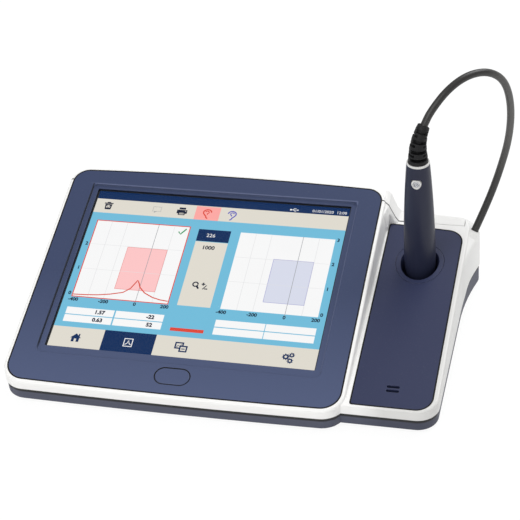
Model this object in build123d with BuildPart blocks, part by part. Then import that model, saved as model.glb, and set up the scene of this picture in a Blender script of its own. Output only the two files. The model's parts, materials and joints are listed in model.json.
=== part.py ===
from build123d import *
import math
import os

os.makedirs("parts", exist_ok=True)

# Sizes in millimetres and degrees. X runs left to right, Y front to back and Z up from the table,
# with the origin under the middle of the housing. Heights are above the underside of the base.
foot_height = 2.0
foot_radius = 6.0
foot_inset = 16.0
side_foot_back = 24.0
foot_round = 0.6

# Screen unit, a wedge whose face tilts towards the user. The bezel's margins are round the picture,
# reaches are from its centre along the face, and rises are square to it, from the display's front.
screen_tilt = 15.0
picture_width = 170.4
picture_height = 127.8
bezel_side_margin = 19.1
bezel_front_margin = 28.3
bezel_back_margin = 17.1
main_front_height = 13.9
rim_width = 2.7
bezel_rise = 3.0
bezel_thickness = 2.4
bezel_edge = 0.4
front_bow_radius = 4500.0
back_bow_radius = 2200.0
bezel_front_corner = 12.0
bezel_back_corner = 10.0
rim_round = 1.5
wall = 2.4
ledge_width = 2.2
ledge_depth = 2.0
seam_inset = 11.1

# Side unit with the cradle, lower and less steep. Rims are the white edges round its dark panel.
side_tilt = 10.0
side_width = 54.5
side_setback = 7.9
side_front_height = 14.7
side_front_corner = 13.0
side_back_corner = 9.0
side_rim_round = 1.6
side_rim_left = 3.2
side_rim_right = 3.7
side_rim_front = 2.0
side_rim_back = 13.1
side_panel_depth = 2.2
side_panel_corner = 9.8
side_panel_left_corner = 1.6
panel_edge = 0.3

# Sloping wall between the two units, which widens into a ramp at the back.
step_lean = 8.5
ramp_length = 10.8
ramp_shoulder_out = 2.1
ramp_shoulder_drop = 3.4
ramp_foot_out = 6.1
ramp_foot_rise = 2.8
ramp_toe_out = 8.2

# Flared corner at the back right, and the cord's outlet on top of it.
flare_out = 6.2
flare_length = 54.5
fender_lap = 1.3
fender_slope = 30.0
fender_drop = 0.5
fender_round = 2.5
outlet_out = 2.9
outlet_back = 31.3
outlet_height = 39.9
outlet_face_radius = 3.5
outlet_root_radius = 6.5
outlet_depth = 12.0

# Base tray, and the line where it meets the white shells, which rises towards the back.
base_height = 8.4
base_back_height = 13.5
base_inset = 0.6
base_floor = 2.4
base_round = 1.2
tongue_width = 1.2
tongue_height = 1.4
parting_rise_start = 118.0
parting_rise_end = 142.0

# Clearances
trim_gap = 0.5
slip_gap = 0.2
rest_gap = 0.3
fit_gap = 0.05
seam_gap = 0.35

# How far a cut runs past the face that it opens
past = 1.0

# Display and touch glass behind the bezel
window_margin = 0.6
window_corner = 1.0
recess_margin_side = 4.6
recess_margin_front = 6.6
recess_margin_back = 3.8
recess_depth = 1.1
recess_corner = 4.0
recess_slope = 27.0
glass_thickness = 0.8
glass_side_border = 9.3
glass_end_border = 6.1
gasket_thickness = 0.3
gasket_width = 3.0
lcd_side_border = 14.55
lcd_end_border = 7.35
lcd_thickness = 8.0
sheet = 1.0

# Oval key under the screen, and the switch that it presses
key_width = 21.6
key_height = 11.4
key_x = 0.7
key_drop = 15.4
key_proud = 0.05
key_edge = 0.5
key_flange_out = 2.2
key_flange_depth = 0.9
key_travel = 0.8
key_plunger_length = 1.6
key_plunger_radius = 2.0
key_board_depth = 6.3
key_board_thickness = 1.2
key_board_width = 46.0
key_board_height = 9.0
key_boss_x = 19.0
key_switch_size = 6.0
key_switch_stem = 0.5

# Screws, and what holds the bezel and the display
post_radius = 3.5
post_inset = 7.4
back_post_inset = 5.6
flare_post_offset = 2.7
post_height = 12.0
base_thread_radius = 1.5
base_head_radius = 2.8
base_head_height = 1.8
base_screw_length = 9.0
boss_radius = 2.1
thread_radius = 1.2
screw_head_radius = 2.2
screw_head_height = 1.3
thread_depth = 4.5
display_boss_x = 60.0
display_boss_front = 9.75
display_boss_back = 2.35
hook_width = 8.0
hook_thickness = 1.3
hook_nib = 0.9
hook_tip = 1.2
front_hook_spots = (-80.0, -35.0, 35.0, 80.0)
back_hook_spots = (-85.0, -25.0, 25.0, 85.0)
side_hook_reaches = (40.0, 88.0)

# Cradle, and the seat that the probe stands on
cradle_x = 27.0
cradle_y = 118.4
cradle_radius = 11.3
cradle_front = 15.3
cradle_ring = 3.7
cradle_wall = 1.5
cradle_flange = 1.2
cradle_dish = 2.6
cradle_dish_depth = 0.8
cradle_shelf = 19.7
cradle_neck_radius = 7.0
cradle_bottom = 2.6
pad_thickness = 2.0
pad_bore_radius = 6.6

# Hand-held probe, from its tip up to the strain relief of the cord
tip_bottom = 4.5
tip_radius = 1.7
tip_root_radius = 2.3
tip_nut_bottom = 8.4
tip_nut_radius = 4.3
grip_count = 12
grip_radius = 0.5
nose_bottom = 11.0
nose_radius = 4.4
nose_root_radius = 6.2
nose_flange_thickness = 1.5
nose_flange_round = 0.8
shell_bottom_radius = 9.3
shell_belly_height = 35.0
shell_belly_radius = 9.85
shell_middle_height = 72.0
shell_middle_radius = 9.3
shell_top_height = 109.0
shell_top_radius = 7.2
shell_wall = 1.6
nose_plug_length = 4.0
core_length = 24.0
core_radius = 7.4
core_bore_radius = 0.8
core_bore_circle = 2.6
core_bore_count = 3
probe_board_width = 11.0
probe_board_top = 100.0
clamp_length = 3.4
clamp_radius = 5.4
ring_height = 1.3
ring_radius = 7.1
ring_round = 0.4
boot_spigot_radius = 3.6
boot_flange_radius = 5.0
boot_flange_height = 1.3
boot_radius = 6.2
boot_end_radius = 3.8
boot_straight = 6.2
boot_bend_radius = 32.0
boot_bend_angle = 32.1
boot_steps = 5
cord_diameter = 4.7
cord_run_share = 0.45

# Key on the probe
probe_key_height = 98.5
collar_width = 8.5
collar_height = 8.6
collar_corner = 1.7
collar_proud = 0.35
collar_depth = 5.4
collar_bore_radius = 2.1
probe_key_radius = 1.9
probe_key_proud = 1.3
probe_key_round = 0.8
probe_key_flange_radius = 2.7
probe_key_flange = 0.8
probe_key_travel = 0.5
probe_switch_size = 4.5
probe_switch_depth = 1.6
probe_switch_stem = 0.5

# Cone of the cord's clamp inside the outlet
gland_radius = 2.6
gland_flange_radius = 4.0
gland_flange = 2.0

# Speaker under two slots
speaker_x = 26.5
speaker_reach = 19.5
speaker_radius = 14.0
speaker_frame = 1.6
speaker_magnet_radius = 8.5
speaker_depth = 5.2
speaker_seal = 0.6
speaker_seal_width = 2.6
slot_length = 7.8
slot_width = 1.9
slot_reaches = (14.4, 17.5)

# Boards, ports, pump and air path inside. Widths are from the middle of the screen unit, and
# depths from the front of the base.
board_thickness = 1.6
standoff_radius = 3.0
screw_inset = 4.0
board_thread_depth = 3.4
main_board_x = (-20.0, 90.0)
main_board_y = (60.0, 124.0)
main_board_height = 6.4
port_board_depth = 24.0
port_board_height = 17.2
port_opening_x = (-15.0, 65.0)
port_opening_height = (18.5, 34.5)
port_plate_thickness = 1.5
port_plate_lap = 2.5
port_proud = 1.0
jack_x = -6.0
jack_size = (9.0, 12.0, 11.0)
jack_bore_radius = 3.1
jack_pin_radius = 1.0
jack_bore_depth = 9.0
usb_xs = (8.0, 23.0)
usb_size = (14.5, 16.0, 7.0)
host_x = 36.5
host_size = (12.0, 16.0, 10.8)
lan_x = 52.0
lan_size = (16.0, 20.0, 13.5)
port_sheet = 0.8
port_mouth_depth = 9.0
usb_tongue = 1.6
pump_x = -58.0
pump_y = 136.0
pump_height = 19.0
pump_radius = 15.0
pump_depth = 16.0
pump_track_radius = 12.0
roller_radius = 3.0
roller_count = 3
roller_length = 9.0
roller_circle = 8.7
rotor_plate_radius = 11.0
rotor_plate = 1.2
rotor_shaft_radius = 2.0
shaft_depth = 8.0
motor_radius = 12.0
motor_length = 32.0
bracket_thickness = 2.0
bracket_width = 34.0
bracket_foot = 12.0
bracket_boss_height = 2.0
bracket_rise = 12.0
tube_radius = 2.0
tube_bend = 9.0
tube_height = 8.0
tube_offset = 4.0
tube_inset = 5.0
saddle_width = 6.0
saddle_shares = (0.25, 0.6, 0.85)
manifold_x = (114.0, 148.0)
manifold_y = (46.0, 84.0)
manifold_height = 11.0
manifold_corner = 2.0
sensor_size = (12.0, 12.0, 4.0)
sensor_inset = 5.0
sensor_nipple_radius = 1.5
sensor_nipple_height = 2.0
valve_radius = 5.5
valve_length = 8.0
valve_inset = 8.0
valve_round = 1.0

sin_screen = math.sin(math.radians(screen_tilt))
cos_screen = math.cos(math.radians(screen_tilt))
tan_screen = math.tan(math.radians(screen_tilt))
sin_side = math.sin(math.radians(side_tilt))
cos_side = math.cos(math.radians(side_tilt))
tan_side = math.tan(math.radians(side_tilt))

main_width = picture_width + 2 * (bezel_side_margin + rim_width)
bezel_front_reach = picture_height / 2 + bezel_front_margin
bezel_back_reach = picture_height / 2 + bezel_back_margin
seam_back_reach = bezel_back_reach - seam_inset
glass_width = picture_width + 2 * glass_side_border
glass_height = picture_height + 2 * glass_end_border
lcd_width = picture_width + 2 * lcd_side_border
lcd_height = picture_height + 2 * lcd_end_border
key_reach = -picture_height / 2 - key_drop

main_x = -(side_width + flare_out) / 2
main_right = main_x + main_width / 2
side_right = main_right + side_width

front_reach = bezel_front_reach + rim_width
back_reach = bezel_back_reach + rim_width
screen_y = (front_reach - back_reach) / 2 * cos_screen + bezel_rise * sin_screen
screen_z = foot_height + main_front_height + front_reach * sin_screen - bezel_rise * cos_screen
front_y = screen_y - front_reach * cos_screen - bezel_rise * sin_screen
back_y = screen_y + back_reach * cos_screen - bezel_rise * sin_screen
seam_y = screen_y + seam_back_reach * cos_screen - bezel_rise * sin_screen
side_front_y = front_y + side_setback
corner_seam_x = side_right - side_rim_right
height_limit = foot_height + main_front_height + (back_y - front_y) * tan_screen + 10

ledge_top = bezel_rise - bezel_thickness
ledge_bottom = ledge_top - ledge_depth
panel_ledge_bottom = -side_panel_depth - ledge_depth
floor_top = foot_height + base_floor
base_top = foot_height + base_height

screen_plane = Plane(
    origin=(main_x, screen_y, screen_z), x_dir=(1, 0, 0), z_dir=(0, -sin_screen, cos_screen)
)
side_plane = Plane(
    origin=(main_right, side_front_y, foot_height + side_front_height),
    x_dir=(1, 0, 0),
    z_dir=(0, -sin_side, cos_side),
)


def main_top(y):
    return foot_height + main_front_height + (y - front_y) * tan_screen


def side_top(y):
    return foot_height + side_front_height + (y - side_front_y) * tan_side


def back_edge(x, inset=0):
    radius = back_bow_radius - inset
    return back_y - back_bow_radius + math.sqrt(radius**2 - (x - main_x) ** 2)


def toward(start, end, distance):
    dx = end[0] - start[0]
    dy = end[1] - start[1]
    length = math.hypot(dx, dy)
    return (start[0] + dx * distance / length, start[1] + dy * distance / length)


# Centre of the rounded back right corner, which touches the bowed back edge and the flare's arc.
corner_x = side_right + flare_out - side_back_corner
corner_y = back_edge(corner_x, side_back_corner)
flare_start_y = corner_y + side_back_corner - flare_length
flare_inner = side_back_corner - flare_out
flare_radius = (
    flare_inner**2 + (corner_y - flare_start_y) ** 2 - side_back_corner**2
) / (2 * flare_out)


def bowed_outline(half_width, front, back, front_corner, back_corner):
    """A plate whose front and back edges bow gently outwards, in its own plane."""
    front_sag = half_width**2 / (2 * front_bow_radius)
    back_sag = half_width**2 / (2 * back_bow_radius)
    with BuildSketch() as outline:
        with BuildLine():
            ThreePointArc(
                (-half_width, front + front_sag), (0, front), (half_width, front + front_sag)
            )
            Line((half_width, front + front_sag), (half_width, back - back_sag))
            ThreePointArc(
                (half_width, back - back_sag), (0, back), (-half_width, back - back_sag)
            )
            Line((-half_width, back - back_sag), (-half_width, front + front_sag))
        make_face()
        fillet(outline.vertices().group_by(Axis.Y)[0], front_corner)
        fillet(outline.vertices().group_by(Axis.Y)[-1], back_corner)
    return outline.sketch


def bezel_outline(inset):
    """The edge of the bezel in the plane of the screen, drawn in by an inset."""
    return bowed_outline(
        main_width / 2 - rim_width - inset,
        -bezel_front_reach + inset,
        bezel_back_reach - inset,
        bezel_front_corner - inset,
        bezel_back_corner - inset,
    )


def main_plan(inset):
    """The screen unit seen from above."""
    with BuildSketch() as plan:
        with Locations((main_x, 0)):
            add(
                bowed_outline(
                    main_width / 2 - inset,
                    front_y + inset,
                    back_y - inset,
                    bezel_front_corner + rim_width - inset,
                    bezel_back_corner + rim_width - inset,
                )
            )
    return plan.sketch


def side_plan(inset, flared=False):
    """The side unit seen from above, its left end hidden inside the screen unit."""
    left = main_right - 2 * (bezel_front_corner + rim_width) + inset
    front = side_front_y + inset
    right = side_right - inset
    front_corner = side_front_corner - inset
    centre_x = corner_x if flared else side_right - side_back_corner
    centre = (centre_x, back_edge(centre_x, side_back_corner))
    bow_centre = (main_x, back_y - back_bow_radius)
    back_touch = toward(bow_centre, centre, back_bow_radius - inset)
    if flared:
        flare_centre = (side_right + flare_radius, flare_start_y)
        touch = toward(flare_centre, centre, flare_radius + inset)
    else:
        touch = (right, centre[1])
    back_left = (left, back_edge(left, inset))
    with BuildSketch() as plan:
        with BuildLine():
            Line(back_left, (left, front))
            Line((left, front), (right - front_corner, front))
            RadiusArc((right - front_corner, front), (right, front + front_corner), -front_corner)
            if flared:
                Line((right, front + front_corner), (right, flare_start_y))
                RadiusArc((right, flare_start_y), touch, flare_radius + inset)
            else:
                Line((right, front + front_corner), touch)
            RadiusArc(touch, back_touch, inset - side_back_corner)
            RadiusArc(back_touch, back_left, inset - back_bow_radius)
        make_face()
    return plan.sketch


def panel_plan(inset):
    """The dark panel of the side unit seen from above."""
    left = main_right + side_rim_left + inset
    right = side_right - side_rim_right - inset
    front = side_front_y + side_rim_front + inset
    back = side_rim_back + inset
    back_left = (left, back_edge(left, back))
    back_right = (right, back_edge(right, back))
    with BuildSketch() as plan:
        with BuildLine():
            Polyline(back_left, (left, front), (right, front), back_right)
            RadiusArc(back_right, back_left, back - back_bow_radius)
        make_face()
        fillet(plan.vertices().group_by(Axis.X)[-1], side_panel_corner - inset)
        fillet(plan.vertices().group_by(Axis.X)[0], side_panel_left_corner)
    return plan.sketch


def egg(grow):
    """The outline of the cradle seen from above, longer towards the front."""
    radius = cradle_radius + grow
    centre = (probe_x, probe_y)
    with BuildSketch() as outline:
        with BuildLine():
            CenterArc(centre, radius, 0, 180)
            EllipticalCenterArc(centre, radius, cradle_front + grow, 180, arc_size=180)
        make_face()
    return outline.sketch


def rim_edges(part, plane):
    """The edges of a part that lie in a plane."""
    found = ShapeList()
    for edge in part.edges():
        if all(abs(plane.to_local_coords(edge.position_at(t)).Z) < 0.01 for t in (0, 0.5, 1)):
            found.append(edge)
    return found


def wedge(plan, plane, height, round_over=0, low=0):
    """A plan outline carried up to a height over a tilted plane, its top edge rounded."""
    top = plane.offset(height)
    with BuildPart() as form:
        with BuildSketch(Plane.XY.offset(low)):
            add(plan)
        extrude(amount=height_limit)
        split(bisect_by=top, keep=Keep.BOTTOM)
        if round_over:
            fillet(rim_edges(form.part, top), round_over)
    return form.part


def slab(plan, plane, low, high):
    """A plan outline as a plate between two heights over a tilted plane, its walls upright."""
    with BuildPart() as plate:
        add(wedge(plan, plane, high))
        split(bisect_by=plane.offset(low), keep=Keep.TOP)
    return plate.part


def fender(inset, drop, cap, round_over=0):
    """The flared corner, whose top falls away to the right, under a cap below the side's top."""
    fall = math.tan(math.radians(fender_slope))
    top = Plane(
        origin=(side_right - fender_lap, side_front_y, side_top(side_front_y) - fender_drop),
        z_dir=(fall, -tan_side, 1),
    ).offset(-drop)
    with BuildPart() as form:
        with BuildSketch():
            add(side_plan(inset, flared=True))
        extrude(amount=height_limit)
        split(bisect_by=top, keep=Keep.BOTTOM)
        if round_over:
            edges = rim_edges(form.part, top)
            fillet(edges.filter_by(lambda e: e.center().X > side_right - inset - 0.1), round_over)
        split(bisect_by=side_plane.offset(-cap), keep=Keep.BOTTOM)
    return form.part


def lean_section(y):
    """The wall between the units across X, where it has a plain lean."""
    top = main_top(y) - rim_round
    deep = side_top(y) - wall
    inner = main_right - wall / 2
    toe = main_right + math.tan(math.radians(step_lean)) * (top - deep)
    return [(inner, top), (main_right, top), (toe, deep), (inner, deep)]


def ramp_section(y, share):
    """The wall between the units across X, from a plain lean to the full ramp."""
    top = main_top(y) - rim_round
    foot = side_top(y)
    lean = math.tan(math.radians(step_lean))
    drops = (ramp_shoulder_drop - rim_round, top - foot - ramp_foot_rise, top - foot)
    full = (ramp_shoulder_out, ramp_foot_out, ramp_toe_out)
    slope = [
        (main_right + (1 - share) * lean * drop + share * out, top - drop)
        for drop, out in zip(drops, full)
    ]
    deep = foot - wall
    inner = main_right - wall / 2
    return [(inner, top), (main_right, top)] + slope + [(slope[-1][0], deep), (inner, deep)]


def loft_along_y(stations):
    """A form through sections across X at several depths."""
    with BuildPart() as span:
        for y, points in stations:
            with BuildSketch(Plane(origin=(0, y, 0), x_dir=(1, 0, 0), z_dir=(0, -1, 0))):
                with BuildLine():
                    Polyline(points, close=True)
                make_face()
        loft(ruled=True)
    return span.part


def step_wall():
    """The sloping wall between the two units, with the ramp at its back."""
    ramp_y = seam_y - ramp_length
    back = back_edge(main_right + ramp_toe_out)
    with BuildPart() as form:
        add(loft_along_y([(y, lean_section(y)) for y in (side_front_y + side_front_corner, ramp_y)]))
        for start, end in (((ramp_y, 0), (seam_y, 1)), ((seam_y, 1), (back, 1))):
            add(loft_along_y([(y, ramp_section(y, share)) for y, share in (start, end)]))
    return form.part


def parting_form(height=0):
    """Everything below the line where the base meets the white shells."""
    low = base_top + height
    high = foot_height + base_back_height + height
    start = front_y + parting_rise_start
    end = front_y + parting_rise_end
    middle = ((start + end) / 2, (low + high) / 2)
    with BuildPart() as form:
        with BuildSketch(Plane.YZ):
            with BuildLine():
                Polyline((2 * front_y, 0), (2 * front_y, low), (start, low))
                TangentArc((start, low), middle, tangent=(1, 0))
                TangentArc((end, high), middle, tangent=(-1, 0))
                Polyline((end, high), (2 * back_y, high), (2 * back_y, 0), (2 * front_y, 0))
            make_face()
        extrude(amount=main_width, both=True)
    return form.part


def base_plan(inset):
    """Both units seen from above, as one outline."""
    with BuildSketch() as plan:
        add(main_plan(inset))
        add(side_plan(inset, flared=True))
    return plan.sketch


def base_block(inset, low, high):
    """The outline of both units as a level block."""
    with BuildPart() as form:
        with BuildSketch(Plane.XY.offset(low)):
            add(base_plan(inset))
        extrude(amount=high - low)
    return form.part


def inner_form(inset):
    """The room inside both units, under the ledges that carry the bezel and the side panel."""
    with BuildPart() as form:
        add(wedge(main_plan(inset), screen_plane, ledge_bottom))
        add(wedge(side_plan(inset), side_plane, panel_ledge_bottom))
        add(fender(inset, inset, -panel_ledge_bottom))
    return form.part


def bars(spots, low, high, radius):
    """Upright round bars between two levels."""
    with BuildPart() as group:
        with BuildSketch(Plane.XY.offset(low)):
            with Locations(*spots):
                Circle(radius)
        extrude(amount=high - low)
    return group.part


def block(x_range, y_range, low, high):
    """A box between limits in X and Y, and two levels."""
    with BuildPart() as piece:
        with BuildSketch(Plane.XY.offset(low)):
            with Locations((sum(x_range) / 2, sum(y_range) / 2)):
                Rectangle(x_range[1] - x_range[0], y_range[1] - y_range[0])
        extrude(amount=high - low)
    return piece.part


def screen_bars(spots, low, high, radius):
    """Round bars square to the screen between two rises."""
    with BuildPart() as group:
        with BuildSketch(screen_plane.offset(low)):
            with Locations(*spots):
                Circle(radius)
        extrude(amount=high - low)
    return group.part


def screen_plate(width, height, low, high, x=0, reach=0, corner=0):
    """A plate that lies along the screen between two rises."""
    with BuildPart() as plate:
        with BuildSketch(screen_plane.offset(low)) as outline:
            with Locations((x, reach)):
                Rectangle(width, height)
            if corner:
                fillet(outline.vertices(), corner)
        extrude(amount=high - low)
    return plate.part


# The probe's axis, and the upright plane that holds the loop of its cord.
probe_x = main_right + cradle_x
probe_y = side_front_y + cradle_y
outlet = (side_right + outlet_out, probe_y + outlet_back, foot_height + outlet_height)
loop_reach = math.hypot(outlet[0] - probe_x, outlet[1] - probe_y)
loop_x = (outlet[0] - probe_x) / loop_reach
loop_y = (outlet[1] - probe_y) / loop_reach
boot_turn = math.radians(boot_bend_angle)
boot_bottom = shell_top_height + ring_height
boot_end_out = boot_bend_radius * (1 - math.cos(boot_turn))
boot_end_height = boot_bottom + boot_straight + boot_bend_radius * math.sin(boot_turn)

# The cord from the end of the strain relief to the outlet, as distances out from the probe's axis
# and heights.
cord_route = (
    (boot_end_out, boot_end_height),
    (9.6, 141.01),
    (23.0, 151.8),
    (38.5, 156.0),
    (54.5, 152.3),
    (66.8, 141.0),
    (72.0, 121.5),
    (70.8, 99.0),
    (63.5, 77.3),
    (53.8, 56.5),
    (loop_reach, outlet_height),
)


def loop_point(out, height):
    """A place in the plane of the cord's loop."""
    return (probe_x + out * loop_x, probe_y + out * loop_y, foot_height + height)


cord_points = [Vector(*loop_point(out, height)) for out, height in cord_route]
outlet_axis = (cord_points[-2] - cord_points[-1]).normalized()
outlet_plane = Plane(origin=cord_points[-1], x_dir=(loop_y, -loop_x, 0), z_dir=outlet_axis)


def outlet_bar(low, high, radius, end_radius):
    """A round bar or cone along the cord's outlet, between two distances from its face."""
    with BuildPart() as cone:
        with BuildSketch(outlet_plane.offset(low)):
            Circle(radius)
        with BuildSketch(outlet_plane.offset(high)):
            Circle(end_radius)
        loft()
    return cone.part


# Places of the base screws. Those of the front shell come first, with the one in the flared
# corner, and those of the rear shell last.
front_screws = [
    (main_x - main_width / 2 + post_inset, front_y + post_inset),
    (main_right - post_inset, front_y + post_inset),
    (side_right - post_inset, side_front_y + post_inset),
]
flare_screw = (corner_x + flare_post_offset, corner_y + flare_post_offset)
back_screw_xs = (main_x - main_width / 2 + post_inset, main_right - post_inset)
back_screws = [(x, back_edge(x, back_post_inset)) for x in back_screw_xs]
all_screws = front_screws + [flare_screw] + back_screws
back_rise = base_back_height - base_height
screw_rises = [0] * len(front_screws) + [back_rise] * (1 + len(back_screws))
screw_seat = foot_height + base_head_height
screw_tip = screw_seat + base_screw_length


def screw_bars(low, high, radius):
    """Upright bars at the base screws, each raised by the rise of the base there."""
    with BuildPart() as group:
        for spot, rise in zip(all_screws, screw_rises):
            add(bars([spot], low + rise, high + rise, radius))
    return group.part


def shell_posts():
    """Posts that the base screws go up into, shaped to the walls that they stand against."""
    with BuildPart() as posts:
        for spot, rise in zip(all_screws, screw_rises):
            add(bars([spot], foot_height, base_top + rise + post_height, post_radius))
        add(inner_form(wall / 2), mode=Mode.INTERSECT)
    return posts.part


def seam_region(gap):
    """The back of the housing, as far to the right as the side panel reaches."""
    left = main_x - main_width
    return block((left, corner_seam_x - gap), (seam_y + gap, 2 * back_y), 0, height_limit)


port_cut_x = (main_x + port_opening_x[0], main_x + port_opening_x[1])
port_cut_z = (foot_height + port_opening_height[0], foot_height + port_opening_height[1])
gland_bore = gland_radius + fit_gap
base_pilot_radius = base_thread_radius + fit_gap
step_height = main_top(back_y) - side_top(back_y)
with BuildPart() as shell_form:
    add(wedge(main_plan(0), screen_plane, bezel_rise, rim_round))
    add(wedge(side_plan(0), side_plane, 0, side_rim_round))
    add(fender(0, 0, fender_drop, fender_round))
    add(step_wall())
    add(inner_form(wall), mode=Mode.SUBTRACT)
    add(outlet_bar(-outlet_depth, 0, outlet_root_radius, outlet_face_radius))
    add(outlet_bar(-2 * outlet_depth, outlet_depth, gland_bore, gland_bore), mode=Mode.SUBTRACT)
    add(shell_posts())
    with BuildSketch(screen_plane.offset(ledge_top)):
        add(bezel_outline(-trim_gap))
    extrude(amount=height_limit / 2, mode=Mode.SUBTRACT)
    with BuildSketch(screen_plane.offset(ledge_bottom - past)):
        add(bezel_outline(ledge_width))
    extrude(amount=ledge_depth + 2 * past, mode=Mode.SUBTRACT)
    add(slab(panel_plan(-trim_gap), side_plane, -side_panel_depth, step_height), mode=Mode.SUBTRACT)
    add(slab(panel_plan(ledge_width), side_plane, panel_ledge_bottom - past, 0), mode=Mode.SUBTRACT)
    add(parting_form(), mode=Mode.SUBTRACT)
    add(block(port_cut_x, (seam_y + seam_gap, 2 * back_y), *port_cut_z), mode=Mode.SUBTRACT)
    add(screw_bars(screw_seat, screw_tip + slip_gap, base_pilot_radius), mode=Mode.SUBTRACT)

with BuildPart() as top_shell:
    add(shell_form.part)
    add(seam_region(0), mode=Mode.SUBTRACT)
top_shell.part.label = "top_shell"
export_step(top_shell.part, "parts/top_shell.step")

with BuildPart() as rear_shell:
    add(shell_form.part)
    add(seam_region(seam_gap), mode=Mode.INTERSECT)
rear_shell.part.label = "rear_shell"
export_step(rear_shell.part, "parts/rear_shell.step")


def tongue():
    """The thin wall on the base that stands up inside the shells."""
    outer = wall + slip_gap
    with BuildPart() as ring:
        add(base_block(outer, floor_top, height_limit))
        add(base_block(outer + tongue_width, foot_height, 2 * height_limit), mode=Mode.SUBTRACT)
        add(parting_form(tongue_height), mode=Mode.INTERSECT)
        add(bars(all_screws, foot_height, height_limit, post_radius + slip_gap), mode=Mode.SUBTRACT)
    return ring.part


def rectangle_spots(x_range, y_range, inset):
    """The corners of a rectangle, and the middles of its long edges, set in from its edge."""
    xs = (x_range[0] + inset, sum(x_range) / 2, x_range[1] - inset)
    ys = (y_range[0] + inset, y_range[1] - inset)
    return [(x, y) for x in xs for y in ys]


def on_base(x_range, y_range):
    """Limits from widths off the screen unit's middle and depths from the front."""
    return (
        (main_x + x_range[0], main_x + x_range[1]),
        (front_y + y_range[0], front_y + y_range[1]),
    )


board_x, board_y = on_base(main_board_x, main_board_y)
board_low = foot_height + main_board_height
board_top = board_low + board_thickness
board_spots = rectangle_spots(board_x, board_y, screw_inset)

plate_x = (main_x + port_opening_x[0] - port_plate_lap, main_x + port_opening_x[1] + port_plate_lap)
plate_back = back_edge(plate_x[1], wall) - slip_gap
plate_front = plate_back - port_plate_thickness
plate_low = foot_height + port_opening_height[0] - port_plate_lap
plate_high = foot_height + port_opening_height[1] + port_plate_lap
port_face = plate_back + port_proud
port_x = plate_x
port_y = (plate_front - rest_gap - port_board_depth, plate_front - rest_gap)
port_low = foot_height + port_board_height
port_top = port_low + board_thickness
port_spots = [
    (x, y)
    for x in (port_x[0] + screw_inset, port_x[1] - screw_inset)
    for y in (port_y[0] + screw_inset, port_y[1] - screw_inset)
]
port_spots.append((sum(port_x) / 2, port_y[0] + screw_inset))
jack_z = port_top + jack_size[2] / 2
connectors = (
    [(jack_x, jack_size)]
    + [(x, usb_size) for x in usb_xs]
    + [(host_x, host_size), (lan_x, lan_size)]
)

pump_centre = (main_x + pump_x, front_y + pump_y, foot_height + pump_height)
head_left = pump_centre[0] - pump_depth / 2
bracket_left = head_left - bracket_thickness
bracket_low = floor_top + bracket_boss_height
bracket_spots = [
    (bracket_left - bracket_foot / 2, pump_centre[1] + side * (bracket_width / 2 - standoff_radius))
    for side in (-1, 1)
]

manifold_span, manifold_depth = on_base(manifold_x, manifold_y)
manifold_top = floor_top + manifold_height
tube_y = pump_centre[1] - tube_offset
tube_z = foot_height + tube_height
tube_x = manifold_span[0] + tube_inset
tube_start = head_left + pump_depth
saddle_xs = [tube_start + share * (tube_x - tube_start) for share in saddle_shares]
saddle_y = (tube_y - saddle_width / 2, tube_y + saddle_width / 2)
channel_y = (tube_y - tube_radius - slip_gap, tube_y + tube_radius + slip_gap)
channel_low = tube_z - tube_radius - fit_gap
pilot_radius = thread_radius + fit_gap
screw_hole_radius = thread_radius + slip_gap

with BuildPart() as base_shell:
    add(base_block(base_inset, foot_height, height_limit))
    fillet(base_shell.edges().group_by(Axis.Z)[0], base_round)
    add(
        base_block(wall + slip_gap + tongue_width, floor_top, 2 * height_limit),
        mode=Mode.SUBTRACT,
    )
    add(bars(all_screws, floor_top, height_limit, post_radius))
    add(parting_form(), mode=Mode.INTERSECT)
    add(tongue())
    add(bars(board_spots, floor_top, board_low, standoff_radius))
    add(bars(port_spots, floor_top, port_low, standoff_radius))
    add(bars(bracket_spots, floor_top, bracket_low, standoff_radius))
    for x in saddle_xs:
        add(block((x - saddle_width / 2, x + saddle_width / 2), saddle_y, floor_top, tube_z))
    channel_x = (min(saddle_xs) - saddle_width, max(saddle_xs) + saddle_width)
    add(block(channel_x, channel_y, channel_low, tube_z + past), mode=Mode.SUBTRACT)
    sunk = screw_seat - back_rise - base_head_height - past
    add(screw_bars(sunk, screw_seat, base_head_radius + slip_gap), mode=Mode.SUBTRACT)
    add(screw_bars(sunk, screw_tip, base_thread_radius + slip_gap), mode=Mode.SUBTRACT)
    for spots, top in ((board_spots, board_low), (port_spots, port_low), (bracket_spots, bracket_low)):
        add(bars(spots, top - board_thread_depth, top, pilot_radius), mode=Mode.SUBTRACT)
base_shell.part.label = "base_shell"
export_step(base_shell.part, "parts/base_shell.step")

foot_spots = [
    (main_x - main_width / 2 + foot_inset, front_y + foot_inset),
    (main_x, front_y + foot_inset),
    (side_right - foot_inset, side_front_y + foot_inset),
    (main_x - main_width / 2 + foot_inset, back_y - foot_inset),
    (side_right - foot_inset, back_y - side_foot_back),
]
with BuildPart() as feet:
    add(bars(foot_spots, 0, foot_height, foot_radius))
    fillet(feet.edges().group_by(Axis.Z)[0], foot_round)
feet.part.label = "feet"
export_step(feet.part, "parts/feet.step")

with BuildPart() as base_screws:
    add(screw_bars(screw_seat - base_head_height + slip_gap, screw_seat, base_head_radius))
    add(screw_bars(screw_seat, screw_tip, base_thread_radius))
base_screws.part.label = "base_screws"
export_step(base_screws.part, "parts/base_screws.step")


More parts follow.
